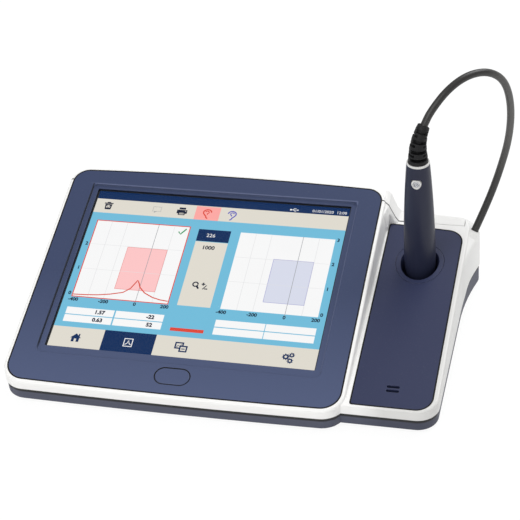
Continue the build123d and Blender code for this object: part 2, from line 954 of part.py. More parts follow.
def hook(plane, place, turn, top, under):
    """A snap hook that hangs from a frame's edge, with its nib, turned outwards, under a ledge."""
    low = under - slip_gap - hook_tip
    with BuildPart() as piece:
        with BuildSketch(plane.offset(low)):
            with Locations(Location(place, turn)):
                with Locations((-hook_thickness / 2, 0)):
                    Rectangle(hook_thickness, hook_width)
        extrude(amount=top - low)
        with BuildSketch(plane.offset(low)):
            with Locations(Location(place, turn)):
                with Locations((hook_nib / 2, 0)):
                    Rectangle(hook_nib, hook_width)
        extrude(amount=hook_tip)
    return piece.part


def front_window(x):
    """The front edge of the window under the bezel, at a distance from its middle."""
    return -bezel_front_reach + ledge_width + (abs(x) + hook_width / 2) ** 2 / (2 * front_bow_radius)


def back_window(x):
    """The back edge of the window under the bezel, at a distance from its middle."""
    return bezel_back_reach - ledge_width - (abs(x) + hook_width / 2) ** 2 / (2 * back_bow_radius)


display_boss_reaches = (-lcd_height / 2 - display_boss_front, lcd_height / 2 + display_boss_back)
display_bosses = [(side * display_boss_x, reach) for side in (-1, 1) for reach in display_boss_reaches]
key_bosses = [(key_x + side * key_boss_x, key_reach) for side in (-1, 1)]
window_width = picture_width + 2 * window_margin
window_height = picture_height + 2 * window_margin
pocket_width = glass_width + 2 * slip_gap
pocket_height = glass_height + 2 * slip_gap
gasket_top = glass_thickness + gasket_thickness
pilot_depth = thread_depth + fit_gap

with BuildPart() as bezel:
    with BuildSketch(screen_plane.offset(ledge_top)):
        add(bezel_outline(0))
    extrude(amount=bezel_thickness)
    fillet(rim_edges(bezel.part, screen_plane.offset(bezel_rise)), bezel_edge)
    with BuildSketch(screen_plane.offset(bezel_rise)) as recess:
        with Locations((0, (recess_margin_back - recess_margin_front) / 2)):
            Rectangle(
                picture_width + 2 * recess_margin_side,
                picture_height + recess_margin_front + recess_margin_back,
            )
        fillet(recess.vertices(), recess_corner)
    extrude(amount=-recess_depth, taper=recess_slope, mode=Mode.SUBTRACT)
    window = screen_plate(window_width, window_height, 0, bezel_rise, corner=window_corner)
    add(window, mode=Mode.SUBTRACT)
    add(screen_plate(pocket_width, pocket_height, 0, gasket_top), mode=Mode.SUBTRACT)
    with BuildSketch(screen_plane):
        with Locations((key_x, key_reach)):
            SlotOverall(key_width + 2 * trim_gap, key_height + 2 * trim_gap)
    extrude(amount=bezel_rise, mode=Mode.SUBTRACT)
    for x in front_hook_spots:
        add(hook(screen_plane, (x, front_window(x) + slip_gap), -90, ledge_top, ledge_bottom))
    for x in back_hook_spots:
        add(hook(screen_plane, (x, back_window(x) - slip_gap), 90, ledge_top, ledge_bottom))
    for spots, end in ((display_bosses, -lcd_thickness), (key_bosses, -key_board_depth)):
        add(screen_bars(spots, end, ledge_top, boss_radius))
        add(screen_bars(spots, end, end + pilot_depth, pilot_radius), mode=Mode.SUBTRACT)
bezel.part.label = "bezel"
export_step(bezel.part, "parts/bezel.step")

with BuildPart() as screen_gasket:
    add(screen_plate(glass_width, glass_height, glass_thickness, gasket_top))
    inner_width = glass_width - 2 * gasket_width
    inner_height = glass_height - 2 * gasket_width
    add(screen_plate(inner_width, inner_height, 0, bezel_rise), mode=Mode.SUBTRACT)
screen_gasket.part.label = "screen_gasket"
export_step(screen_gasket.part, "parts/screen_gasket.step")

with BuildPart() as touch_glass:
    add(screen_plate(glass_width, glass_height, 0, glass_thickness))
touch_glass.part.label = "touch_glass"
export_step(touch_glass.part, "parts/touch_glass.step")

with BuildPart() as lcd_panel:
    add(screen_plate(lcd_width, lcd_height, -lcd_thickness, 0))
lcd_panel.part.label = "lcd_panel"
export_step(lcd_panel.part, "parts/lcd_panel.step")

with BuildPart() as lcd_frame:
    frame_low = -lcd_thickness - sheet
    frame_half = lcd_width / 2 + rest_gap
    add(screen_plate(2 * (frame_half + sheet), lcd_height, frame_low, -lcd_thickness))
    for side in (-1, 1):
        x = side * (frame_half + sheet / 2)
        add(screen_plate(sheet, lcd_height, frame_low, -sheet, x=x))
    for x, reach in display_bosses:
        tip = abs(reach) + boss_radius + sheet / 2
        root = lcd_height / 2 - sheet
        middle = math.copysign((tip + root) / 2, reach)
        add(screen_plate(4 * boss_radius, tip - root, frame_low, -lcd_thickness, x=x, reach=middle))
    add(screen_bars(display_bosses, frame_low, -lcd_thickness, screw_hole_radius), mode=Mode.SUBTRACT)
lcd_frame.part.label = "lcd_frame"
export_step(lcd_frame.part, "parts/lcd_frame.step")


def under_key(width, height, low, high):
    """A plate along the screen, centred under the front key, between two rises."""
    return screen_plate(width, height, low, high, x=key_x, reach=key_reach)


key_board_low = -key_board_depth - key_board_thickness
with BuildPart() as key_board:
    add(under_key(key_board_width, key_board_height, key_board_low, -key_board_depth))
    add(screen_bars(key_bosses, key_board_low, -key_board_depth, screw_hole_radius), mode=Mode.SUBTRACT)
key_board.part.label = "key_board"
export_step(key_board.part, "parts/key_board.step")

key_flange_top = ledge_top - 2 * fit_gap
key_flange_low = key_flange_top - key_flange_depth
plunger_tip = key_flange_low - key_plunger_length
key_switch_top = plunger_tip - key_travel - 2 * fit_gap
switch_body_top = key_switch_top - key_switch_stem
with BuildPart() as key_switch:
    add(under_key(key_switch_size, key_switch_size, -key_board_depth, switch_body_top))
    add(screen_bars([(key_x, key_reach)], switch_body_top, key_switch_top, key_plunger_radius - slip_gap))
key_switch.part.label = "key_switch"
export_step(key_switch.part, "parts/key_switch.step")

with BuildPart() as front_key:
    with BuildSketch(screen_plane.offset(key_flange_top)):
        with Locations((key_x, key_reach)):
            SlotOverall(key_width, key_height)
    extrude(amount=bezel_rise + key_proud - key_flange_top)
    fillet(rim_edges(front_key.part, screen_plane.offset(bezel_rise + key_proud)), key_edge)
    with BuildSketch(screen_plane.offset(key_flange_low)):
        with Locations((key_x, key_reach)):
            SlotOverall(key_width + 2 * key_flange_out, key_height - key_flange_out)
    extrude(amount=key_flange_depth)
    add(screen_bars([(key_x, key_reach)], plunger_tip, key_flange_low, key_plunger_radius))
front_key.part.label = "front_key"
export_step(front_key.part, "parts/front_key.step")

screen_seats = (
    (display_bosses, -lcd_thickness - sheet, -lcd_thickness),
    (key_bosses, key_board_low, -key_board_depth),
)
with BuildPart() as screen_screws:
    for spots, seat, boss_end in screen_seats:
        add(screen_bars(spots, seat - screw_head_height, seat, screw_head_radius))
        add(screen_bars(spots, seat, boss_end + thread_depth, thread_radius))
screen_screws.part.label = "screen_screws"
export_step(screen_screws.part, "parts/screen_screws.step")

with BuildPart() as side_panel:
    add(slab(panel_plan(0), side_plane, -side_panel_depth, 0))
    fillet(rim_edges(side_panel.part, side_plane), panel_edge)
    add(slab(egg(cradle_ring + trim_gap / 2), side_plane, -cradle_flange, past), mode=Mode.SUBTRACT)
    add(slab(egg(cradle_wall + slip_gap), side_plane, -side_panel_depth - past, past), mode=Mode.SUBTRACT)
    with BuildSketch(side_plane):
        with Locations(*[(speaker_x, reach) for reach in slot_reaches]):
            SlotOverall(slot_length, slot_width)
    extrude(amount=-side_panel_depth, mode=Mode.SUBTRACT)
    left_edge = side_rim_left + ledge_width + slip_gap
    right_edge = side_width - side_rim_right - ledge_width - slip_gap
    for reach in side_hook_reaches:
        add(hook(side_plane, (left_edge, reach), 180, -side_panel_depth, panel_ledge_bottom))
        add(hook(side_plane, (right_edge, reach), 0, -side_panel_depth, panel_ledge_bottom))
side_panel.part.label = "side_panel"
export_step(side_panel.part, "parts/side_panel.step")

probe_spot = [(probe_x, probe_y)]
shelf_z = foot_height + cradle_shelf
neck_low = foot_height + cradle_bottom
with BuildPart() as cradle_cup:
    add(slab(egg(cradle_ring), side_plane, -cradle_flange, 0))
    add(wedge(egg(cradle_wall), side_plane, 0, low=shelf_z - cradle_wall))
    add(bars(probe_spot, neck_low, shelf_z, cradle_neck_radius + cradle_wall))
    add(wedge(egg(0), side_plane, past, low=shelf_z), mode=Mode.SUBTRACT)
    add(bars(probe_spot, neck_low + cradle_wall, shelf_z + past, cradle_neck_radius), mode=Mode.SUBTRACT)
    brim = cradle_cup.faces().filter_by(side_plane).sort_by(Axis.Z)[-1]
    chamfer(brim.inner_wires()[0].edges(), cradle_dish_depth, cradle_dish, reference=brim)
cradle_cup.part.label = "cradle_cup"
export_step(cradle_cup.part, "parts/cradle_cup.step")

with BuildPart() as cradle_pad:
    with BuildSketch(Plane.XY.offset(shelf_z)):
        add(egg(-slip_gap))
        with Locations((probe_x, probe_y)):
            Circle(pad_bore_radius, mode=Mode.SUBTRACT)
    extrude(amount=pad_thickness)
cradle_pad.part.label = "cradle_pad"
export_step(cradle_pad.part, "parts/cradle_pad.step")

with BuildPart() as cable_gland:
    add(outlet_bar(-outlet_depth, 0, gland_radius, gland_radius))
    add(outlet_bar(-outlet_depth - gland_flange, -outlet_depth, gland_flange_radius, gland_flange_radius))
cable_gland.part.label = "cable_gland"
export_step(cable_gland.part, "parts/cable_gland.step")


def speaker_disc(low, high, radius):
    """A disc square to the side panel, under the speaker slots."""
    with BuildPart() as disc:
        with BuildSketch(side_plane.offset(low)):
            with Locations((speaker_x, speaker_reach)):
                Circle(radius)
        extrude(amount=high - low)
    return disc.part


speaker_top = -side_panel_depth - speaker_seal
seal_bore = speaker_radius - speaker_seal_width
with BuildPart() as speaker_gasket:
    add(speaker_disc(speaker_top, -side_panel_depth, speaker_radius))
    add(speaker_disc(speaker_top, -side_panel_depth, seal_bore), mode=Mode.SUBTRACT)
speaker_gasket.part.label = "speaker_gasket"
export_step(speaker_gasket.part, "parts/speaker_gasket.step")

with BuildPart() as speaker:
    add(speaker_disc(speaker_top - speaker_frame, speaker_top, speaker_radius))
    add(speaker_disc(speaker_top - speaker_depth, speaker_top - speaker_frame, speaker_magnet_radius))
speaker.part.label = "speaker"
export_step(speaker.part, "parts/speaker.step")

with BuildPart() as main_board:
    add(block(board_x, board_y, board_low, board_top))
    add(bars(board_spots, board_low, board_top, screw_hole_radius), mode=Mode.SUBTRACT)
main_board.part.label = "main_board"
export_step(main_board.part, "parts/main_board.step")

# Square components: distance from the board's left end, from its front edge, width, depth, height
component_boxes = (
    (38.0, 22.0, 24.0, 24.0, 1.6),
    (68.0, 18.0, 12.0, 10.0, 1.2),
    (68.0, 32.0, 12.0, 10.0, 1.2),
    (14.0, 14.0, 16.0, 8.0, 5.6),
    (14.0, 30.0, 10.0, 10.0, 4.0),
    (86.0, 44.0, 14.0, 9.0, 1.6),
    (30.0, 54.0, 22.0, 5.0, 5.0),
    (62.0, 54.0, 26.0, 5.0, 5.0),
    (98.0, 12.0, 5.0, 16.0, 5.0),
)

# Round components: distance from the board's left end, from its front edge, radius, height
component_cans = (
    (22.0, 46.0, 4.0, 8.0),
    (32.0, 46.0, 4.0, 8.0),
    (88.0, 18.0, 3.2, 7.0),
    (88.0, 28.0, 3.2, 7.0),
)

with BuildPart() as board_parts:
    for left, front, width, depth, height in component_boxes:
        x = (board_x[0] + left - width / 2, board_x[0] + left + width / 2)
        y = (board_y[0] + front - depth / 2, board_y[0] + front + depth / 2)
        add(block(x, y, board_top, board_top + height))
    for left, front, radius, height in component_cans:
        add(bars([(board_x[0] + left, board_y[0] + front)], board_top, board_top + height, radius))
board_parts.part.label = "board_parts"
export_step(board_parts.part, "parts/board_parts.step")

with BuildPart() as port_board:
    add(block(port_x, port_y, port_low, port_top))
    add(bars(port_spots, port_low, port_top, screw_hole_radius), mode=Mode.SUBTRACT)
port_board.part.label = "port_board"
export_step(port_board.part, "parts/port_board.step")


def port_body(x, size):
    """The housing of a connector on the port board, its face a little proud of the port plate."""
    middle = main_x + x
    span = (middle - size[0] / 2, middle + size[0] / 2)
    return block(span, (port_face - size[1], port_face), port_top, port_top + size[2])


def port_slot(x, width, low, high, near=0):
    """A block in the mouth of a connector, from its floor to a distance inside its face."""
    middle = main_x + x
    span = (middle - width / 2, middle + width / 2)
    depths = (port_face - port_mouth_depth, port_face - near)
    return block(span, depths, port_top + low, port_top + high)


with BuildPart() as port_plate:
    add(block(plate_x, (plate_front, plate_back), plate_low, plate_high))
    for x, size in connectors:
        middle = main_x + x
        span = (middle - size[0] / 2 - slip_gap, middle + size[0] / 2 + slip_gap)
        low = port_top - slip_gap
        high = port_top + size[2] + slip_gap
        add(block(span, (plate_front - past, plate_back + past), low, high), mode=Mode.SUBTRACT)
port_plate.part.label = "port_plate"
export_step(port_plate.part, "parts/port_plate.step")

jack_face = Plane(origin=(main_x + jack_x, port_face, jack_z), x_dir=(1, 0, 0), z_dir=(0, -1, 0))
with BuildPart() as power_jack:
    add(port_body(jack_x, jack_size))
    with BuildSketch(jack_face):
        Circle(jack_bore_radius)
        Circle(jack_pin_radius, mode=Mode.SUBTRACT)
    extrude(amount=jack_bore_depth, mode=Mode.SUBTRACT)
power_jack.part.label = "power_jack"
export_step(power_jack.part, "parts/power_jack.step")

with BuildPart() as usb_ports:
    for x in usb_xs:
        add(port_body(x, usb_size))
        mouth = usb_size[0] - 2 * port_sheet
        add(port_slot(x, mouth, port_sheet, usb_size[2] - port_sheet), mode=Mode.SUBTRACT)
        tongue_low = usb_size[2] / 2
        add(port_slot(x, mouth - 2 * port_sheet, tongue_low, tongue_low + usb_tongue, port_sheet))
    add(port_body(host_x, host_size))
    mouth = host_size[0] - 4 * port_sheet
    add(port_slot(host_x, mouth, 2 * port_sheet, host_size[2] - 2 * port_sheet), mode=Mode.SUBTRACT)
usb_ports.part.label = "usb_ports"
export_step(usb_ports.part, "parts/usb_ports.step")

with BuildPart() as lan_port:
    add(port_body(lan_x, lan_size))
    mouth = lan_size[0] - 4 * port_sheet
    add(port_slot(lan_x, mouth, 3 * port_sheet, lan_size[2] - 4 * port_sheet), mode=Mode.SUBTRACT)
lan_port.part.label = "lan_port"
export_step(lan_port.part, "parts/lan_port.step")


def axial(low, high, radius, y=0.0, z=0.0):
    """A round bar along the pump's axis between two places in X."""
    with BuildPart() as bar:
        plane = Plane(origin=(low, pump_centre[1], pump_centre[2]), x_dir=(0, 1, 0), z_dir=(1, 0, 0))
        with BuildSketch(plane):
            with Locations((y, z)):
                Circle(radius)
        extrude(amount=high - low)
    return bar.part


head_right = head_left + pump_depth
rotor_left = head_left + rest_gap
rotor_right = rotor_left + 2 * rotor_plate + roller_length
motor_right = bracket_left
with BuildPart() as pump_head:
    add(axial(head_left, head_right, pump_radius))
    add(axial(head_left, rotor_right + rest_gap, pump_track_radius), mode=Mode.SUBTRACT)
pump_head.part.label = "pump_head"
export_step(pump_head.part, "parts/pump_head.step")

with BuildPart() as pump_rotor:
    add(axial(rotor_left, rotor_left + rotor_plate, rotor_plate_radius))
    add(axial(rotor_right - rotor_plate, rotor_right, rotor_plate_radius))
    for turn in range(roller_count):
        angle = 2 * math.pi * turn / roller_count
        offset_y = roller_circle * math.cos(angle)
        offset_z = roller_circle * math.sin(angle)
        add(axial(rotor_left, rotor_right, roller_radius, offset_y, offset_z))
    add(axial(motor_right - shaft_depth, rotor_right, rotor_shaft_radius))
pump_rotor.part.label = "pump_rotor"
export_step(pump_rotor.part, "parts/pump_rotor.step")

shaft_hole_left = motor_right - shaft_depth - rest_gap
with BuildPart() as pump_motor:
    add(axial(motor_right - motor_length, motor_right, motor_radius))
    add(axial(shaft_hole_left, motor_right, rotor_shaft_radius + fit_gap), mode=Mode.SUBTRACT)
pump_motor.part.label = "pump_motor"
export_step(pump_motor.part, "parts/pump_motor.step")

bracket_y = (pump_centre[1] - bracket_width / 2, pump_centre[1] + bracket_width / 2)
bracket_top = bracket_low + bracket_thickness
with BuildPart() as pump_bracket:
    add(block((bracket_left, head_left), bracket_y, bracket_low, pump_centre[2] + bracket_rise))
    add(block((bracket_left - bracket_foot, head_left), bracket_y, bracket_low, bracket_top))
    add(axial(bracket_left, head_left, rotor_shaft_radius + slip_gap), mode=Mode.SUBTRACT)
    add(bars(bracket_spots, bracket_low, bracket_top, screw_hole_radius), mode=Mode.SUBTRACT)
pump_bracket.part.label = "pump_bracket"
export_step(pump_bracket.part, "parts/pump_bracket.step")

board_seats = (
    (board_spots, board_top, board_low),
    (port_spots, port_top, port_low),
    (bracket_spots, bracket_top, bracket_low),
)
with BuildPart() as board_screws:
    for spots, seat, boss_end in board_seats:
        add(bars(spots, seat, seat + screw_head_height, screw_head_radius))
        add(bars(spots, boss_end - board_thread_depth + slip_gap, seat, thread_radius))
board_screws.part.label = "board_screws"
export_step(board_screws.part, "parts/board_screws.step")

with BuildPart() as air_manifold:
    add(block(manifold_span, manifold_depth, floor_top, manifold_top))
    fillet(air_manifold.edges().filter_by(Axis.Z), manifold_corner)
air_manifold.part.label = "air_manifold"
export_step(air_manifold.part, "parts/air_manifold.step")

with BuildPart() as pressure_sensor:
    x = (manifold_span[1] - sensor_inset - sensor_size[0], manifold_span[1] - sensor_inset)
    y = (manifold_depth[1] - sensor_inset - sensor_size[1], manifold_depth[1] - sensor_inset)
    add(block(x, y, manifold_top, manifold_top + sensor_size[2]))
    spot = (sum(x) / 2, sum(y) / 2)
    sensor_top = manifold_top + sensor_size[2]
    add(bars([spot], sensor_top, sensor_top + sensor_nipple_height, sensor_nipple_radius))
pressure_sensor.part.label = "pressure_sensor"
export_step(pressure_sensor.part, "parts/pressure_sensor.step")

with BuildPart() as relief_valve:
    centre = (manifold_span[0] + valve_inset, manifold_depth[0], floor_top + valve_radius + rest_gap)
    with BuildSketch(Plane(origin=centre, x_dir=(1, 0, 0), z_dir=(0, -1, 0))):
        Circle(valve_radius)
    extrude(amount=valve_length)
    fillet(relief_valve.edges().group_by(Axis.Y)[0], valve_round)
relief_valve.part.label = "relief_valve"
export_step(relief_valve.part, "parts/relief_valve.step")

with BuildPart() as air_tube:
    with BuildLine():
        FilletPolyline(
            (tube_start, tube_y, tube_z),
            (tube_x, tube_y, tube_z),
            (tube_x, manifold_depth[1], tube_z),
            radius=tube_bend,
        )
    with BuildSketch(Plane(origin=(tube_start, tube_y, tube_z), z_dir=(1, 0, 0))):
        Circle(tube_radius)
    sweep()
air_tube.part.label = "air_tube"
export_step(air_tube.part, "parts/air_tube.step")

# The hand-held probe stands upright in the cradle, and is turned about its own axis.
probe_plane = Plane(origin=(probe_x, probe_y, foot_height), x_dir=(1, 0, 0), z_dir=(0, -1, 0))
probe_axis = Axis((probe_x, probe_y, 0), (0, 0, 1))
shoulder = cradle_shelf + pad_thickness + rest_gap
shell_bottom = shoulder + nose_flange_thickness


def turned(points):
    """A solid turned about the probe's axis from radii and heights."""
    with BuildPart() as piece:
        with BuildSketch(probe_plane):
            with BuildLine():
                Polyline(points, close=True)
            make_face()
        revolve(axis=probe_axis)
    return piece.part


def probe_body(inset):
    """The tapered body of the probe as a solid, drawn in by an inset."""
    low = (shell_bottom_radius - inset, shell_bottom)
    belly = (shell_belly_radius - inset, shell_belly_height)
    middle = (shell_middle_radius - inset, shell_middle_height)
    high = (shell_top_radius - inset, shell_top_height)
    with BuildPart() as piece:
        with BuildSketch(probe_plane):
            with BuildLine():
                Polyline((0, shell_top_height), (0, shell_bottom), low, belly)
                ThreePointArc(belly, middle, high)
                Line(high, (0, shell_top_height))
            make_face()
        revolve(axis=probe_axis)
    return piece.part


def triangle(grow, near, far):
    """The rounded triangle round the probe's key, between two distances in front of the axis."""
    with BuildPart() as prism:
        with BuildSketch(probe_plane.offset(near)) as outline:
            with BuildLine():
                Polyline(
                    (-collar_width / 2, probe_key_height + collar_height / 3),
                    (collar_width / 2, probe_key_height + collar_height / 3),
                    (0, probe_key_height - 2 * collar_height / 3),
                    close=True,
                )
            make_face()
            fillet(outline.vertices(), collar_corner)
            if grow:
                offset(amount=grow)
        extrude(amount=far - near)
    return prism.part


def key_bar(near, far, radius):
    """A round bar towards the front through the probe's key, between distances from the axis."""
    with BuildPart() as bar:
        with BuildSketch(probe_plane.offset(near)):
            with Locations((0, probe_key_height)):
                Circle(radius)
        extrude(amount=far - near)
    return bar.part


with BuildPart() as probe_shell:
    add(probe_body(0))
    add(probe_body(shell_wall), mode=Mode.SUBTRACT)
    add(triangle(fit_gap, 0, 2 * shell_belly_radius), mode=Mode.SUBTRACT)
probe_shell.part.label = "probe_shell"
export_step(probe_shell.part, "parts/probe_shell.step")

with BuildPart() as probe_ring:
    add(bars(probe_spot, foot_height + shell_top_height, foot_height + boot_bottom, ring_radius))
    fillet(probe_ring.edges().group_by(Axis.Z)[-1], ring_round)
    add(bars(probe_spot, 0, 2 * boot_bottom, boot_spigot_radius + fit_gap), mode=Mode.SUBTRACT)
probe_ring.part.label = "probe_ring"
export_step(probe_ring.part, "parts/probe_ring.step")

with BuildPart() as key_collar:
    add(triangle(0, collar_depth, 2 * shell_belly_radius))
    add(probe_body(-collar_proud), mode=Mode.INTERSECT)
    add(key_bar(0, 2 * shell_belly_radius, collar_bore_radius), mode=Mode.SUBTRACT)
key_collar.part.label = "key_collar"
export_step(key_collar.part, "parts/key_collar.step")

board_front = board_thickness / 2
switch_front = board_front + probe_switch_depth + probe_switch_stem
key_front = shell_top_radius + probe_key_proud
stem_back = switch_front + probe_key_travel + 2 * fit_gap
flange_front = collar_depth - fit_gap
with BuildPart() as probe_key:
    add(key_bar(stem_back, key_front, probe_key_radius))
    fillet(probe_key.edges().group_by(Axis.Y)[0], probe_key_round)
    add(key_bar(flange_front - probe_key_flange, flange_front, probe_key_flange_radius))
probe_key.part.label = "probe_key"
export_step(probe_key.part, "parts/probe_key.step")

with BuildPart() as probe_switch:
    with BuildSketch(probe_plane.offset(board_front)):
        with Locations((0, probe_key_height)):
            Rectangle(probe_switch_size, probe_switch_size)
    extrude(amount=probe_switch_depth)
    add(key_bar(board_front + probe_switch_depth, switch_front, probe_key_radius / 2))
probe_switch.part.label = "probe_switch"
export_step(probe_switch.part, "parts/probe_switch.step")

core_bottom = shell_bottom + nose_plug_length
core_top = core_bottom + core_length
with BuildPart() as probe_board:
    with BuildSketch(probe_plane.offset(-board_thickness / 2)):
        with Locations((0, (core_top + probe_board_top) / 2)):
            Rectangle(probe_board_width, probe_board_top - core_top)
    extrude(amount=board_thickness)
probe_board.part.label = "probe_board"
export_step(probe_board.part, "parts/probe_board.step")

with BuildPart() as probe_core:
    with BuildSketch(Plane.XY.offset(foot_height + core_bottom)):
        with Locations((probe_x, probe_y)):
            Circle(core_radius)
            with PolarLocations(core_bore_circle, core_bore_count):
                Circle(core_bore_radius, mode=Mode.SUBTRACT)
    extrude(amount=core_length)
probe_core.part.label = "probe_core"
export_step(probe_core.part, "parts/probe_core.step")

plug_radius = shell_bottom_radius - shell_wall - fit_gap
nose_points = (
    (0, nose_bottom),
    (nose_radius, nose_bottom),
    (nose_root_radius, shoulder),
    (shell_bottom_radius - nose_flange_round, shoulder),
    (shell_bottom_radius, shoulder + nose_flange_round),
    (shell_bottom_radius, shell_bottom),
    (plug_radius, shell_bottom),
    (plug_radius, core_bottom),
    (0, core_bottom),
)
with BuildPart() as probe_nose:
    add(turned(nose_points))
    with BuildSketch(Plane.XY.offset(foot_height + nose_bottom)):
        with Locations((probe_x, probe_y)):
            with PolarLocations(core_bore_circle, core_bore_count):
                Circle(core_bore_radius)
    extrude(amount=core_bottom - nose_bottom, mode=Mode.SUBTRACT)
probe_nose.part.label = "probe_nose"
export_step(probe_nose.part, "parts/probe_nose.step")

tip_points = (
    (0, tip_bottom),
    (tip_radius, tip_bottom),
    (tip_root_radius, tip_nut_bottom),
    (tip_root_radius, nose_bottom),
    (0, nose_bottom),
)
with BuildPart() as probe_tip:
    add(turned(tip_points))
    add(bars(probe_spot, 0, foot_height + nose_bottom, core_bore_radius), mode=Mode.SUBTRACT)
probe_tip.part.label = "probe_tip"
export_step(probe_tip.part, "parts/probe_tip.step")

with BuildPart() as tip_nut:
    with BuildSketch(Plane.XY.offset(foot_height + tip_nut_bottom)):
        with Locations((probe_x, probe_y)):
            Circle(tip_nut_radius)
            with PolarLocations(tip_nut_radius, grip_count):
                Circle(grip_radius, mode=Mode.SUBTRACT)
            Circle(tip_root_radius + fit_gap, mode=Mode.SUBTRACT)
    extrude(amount=nose_bottom - tip_nut_bottom)
tip_nut.part.label = "tip_nut"
export_step(tip_nut.part, "parts/tip_nut.step")

clamp_bottom = shell_top_height - clamp_length
with BuildPart() as probe_clamp:
    add(bars(probe_spot, foot_height + clamp_bottom, foot_height + shell_top_height, clamp_radius))
    add(bars(probe_spot, 0, 2 * boot_bottom, boot_spigot_radius + fit_gap), mode=Mode.SUBTRACT)
probe_clamp.part.label = "probe_clamp"
export_step(probe_clamp.part, "parts/probe_clamp.step")


def boot_station(distance):
    """The plane across the strain relief at a distance along its middle line."""
    turn = max(0, distance - boot_straight) / boot_bend_radius
    out = boot_bend_radius * (1 - math.cos(turn))
    height = boot_bottom + min(distance, boot_straight) + boot_bend_radius * math.sin(turn)
    direction = (math.sin(turn) * loop_x, math.sin(turn) * loop_y, math.cos(turn))
    return Plane(origin=loop_point(out, height), x_dir=(loop_y, -loop_x, 0), z_dir=direction)


boot_length = boot_straight + boot_bend_radius * boot_turn
with BuildPart() as probe_boot:
    for step in range(boot_steps + 1):
        share = step / boot_steps
        with BuildSketch(boot_station(share * boot_length)):
            Circle(boot_radius + share * (boot_end_radius - boot_radius))
    loft()
    flange_top = foot_height + clamp_bottom - fit_gap
    add(bars(probe_spot, flange_top, foot_height + boot_bottom, boot_spigot_radius))
    add(bars(probe_spot, flange_top - boot_flange_height, flange_top, boot_flange_radius))
probe_boot.part.label = "probe_boot"
export_step(probe_boot.part, "parts/probe_boot.step")

cord_radii = []
for before, corner, after in zip(cord_points, cord_points[1:], cord_points[2:]):
    turn = math.radians((corner - before).get_angle(after - corner))
    run = min((corner - before).length, (after - corner).length)
    cord_radii.append(cord_run_share * run / math.tan(turn / 2))
with BuildPart() as probe_cable:
    with BuildLine() as cord_line:
        FilletPolyline(*cord_points, radius=cord_radii)
    with BuildSketch(Plane(origin=cord_points[0], z_dir=cord_points[1] - cord_points[0])):
        Circle(cord_diameter / 2)
    sweep()
probe_cable.part.label = "probe_cable"
export_step(probe_cable.part, "parts/probe_cable.step")
cord_length = sum(edge.length for edge in cord_line.edges())
cord_section = math.pi * cord_diameter**2 / 4
print("cord radii", [round(radius, 1) for radius in cord_radii])
volume_share = probe_cable.part.volume / cord_section / cord_length
print("cord length", round(cord_length, 1), "volume share", round(volume_share, 4))
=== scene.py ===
import json
import math

import bmesh
import bpy
from mathutils import Matrix, Vector


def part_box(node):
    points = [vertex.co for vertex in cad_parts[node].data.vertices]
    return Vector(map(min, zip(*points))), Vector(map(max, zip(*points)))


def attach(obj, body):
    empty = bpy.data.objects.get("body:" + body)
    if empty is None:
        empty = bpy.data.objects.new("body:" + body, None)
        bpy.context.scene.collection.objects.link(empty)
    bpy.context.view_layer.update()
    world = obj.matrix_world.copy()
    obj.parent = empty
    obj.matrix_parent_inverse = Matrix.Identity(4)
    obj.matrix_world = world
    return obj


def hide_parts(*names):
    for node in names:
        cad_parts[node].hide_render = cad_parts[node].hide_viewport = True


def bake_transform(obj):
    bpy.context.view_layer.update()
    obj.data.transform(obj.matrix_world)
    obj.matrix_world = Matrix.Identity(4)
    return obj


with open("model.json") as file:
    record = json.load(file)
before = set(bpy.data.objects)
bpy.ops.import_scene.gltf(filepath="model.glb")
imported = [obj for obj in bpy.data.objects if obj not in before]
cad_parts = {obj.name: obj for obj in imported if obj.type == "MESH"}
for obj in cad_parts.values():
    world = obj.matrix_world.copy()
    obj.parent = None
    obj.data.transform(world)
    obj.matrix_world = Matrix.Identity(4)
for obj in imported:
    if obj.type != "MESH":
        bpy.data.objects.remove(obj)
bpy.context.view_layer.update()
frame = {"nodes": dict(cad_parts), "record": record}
nodes = frame["nodes"]
print("frame loaded:", len(nodes), "nodes")

mm = 0.001

# place of the screen's picture: its middle in mm, and the lean of its plane in degrees
screenSet = {
    "middle": (-30.35, 6.1856, 37.5641),
    "tilt": 15.0,
}

# camera, with its place in metres and its turn in degrees
cameraSet = {
    "place": (0.23897, -0.77184, 0.64655),
    "turn": (53.7399, 4.2876, 13.3181),
    "lens": 112.1,
    "sensor": 36.0,
    "clip": (0.02, 20.0),
}


def makeCamera(s):
    data = bpy.data.cameras.new("photoCamera")
    data.lens = s["lens"]
    data.sensor_width = s["sensor"]
    data.clip_start, data.clip_end = s["clip"]
    camera = bpy.data.objects.new("photoCamera", data)
    camera.location = s["place"]
    camera.rotation_euler = [math.radians(a) for a in s["turn"]]
    bpy.context.collection.objects.link(camera)
    bpy.context.scene.camera = camera


makeCamera(cameraSet)
print("camera placed")

# helpers for meshes

def addToScene(name, mesh, materials):
    obj = bpy.data.objects.new(name, mesh)
    for material in materials:
        mesh.materials.append(material)
    bpy.context.collection.objects.link(obj)
    return obj


# the angles of a full turn, in equal steps
def turnsOf(count):
    return [2 * math.pi * i / count for i in range(count)]


# faces between two closed rings of points
def bridge(work, low, high):
    faces = []
    for i in range(len(low)):
        j = (i + 1) % len(low)
        faces.append(work.faces.new((low[i], low[j], high[j], high[i])))
    return faces


# ends the work as a mesh whose faces point outwards
def closeMesh(work, name):
    bmesh.ops.recalc_face_normals(work, faces=work.faces)
    mesh = bpy.data.meshes.new(name)
    work.to_mesh(mesh)
    work.free()
    return mesh


# helpers for shader nodes

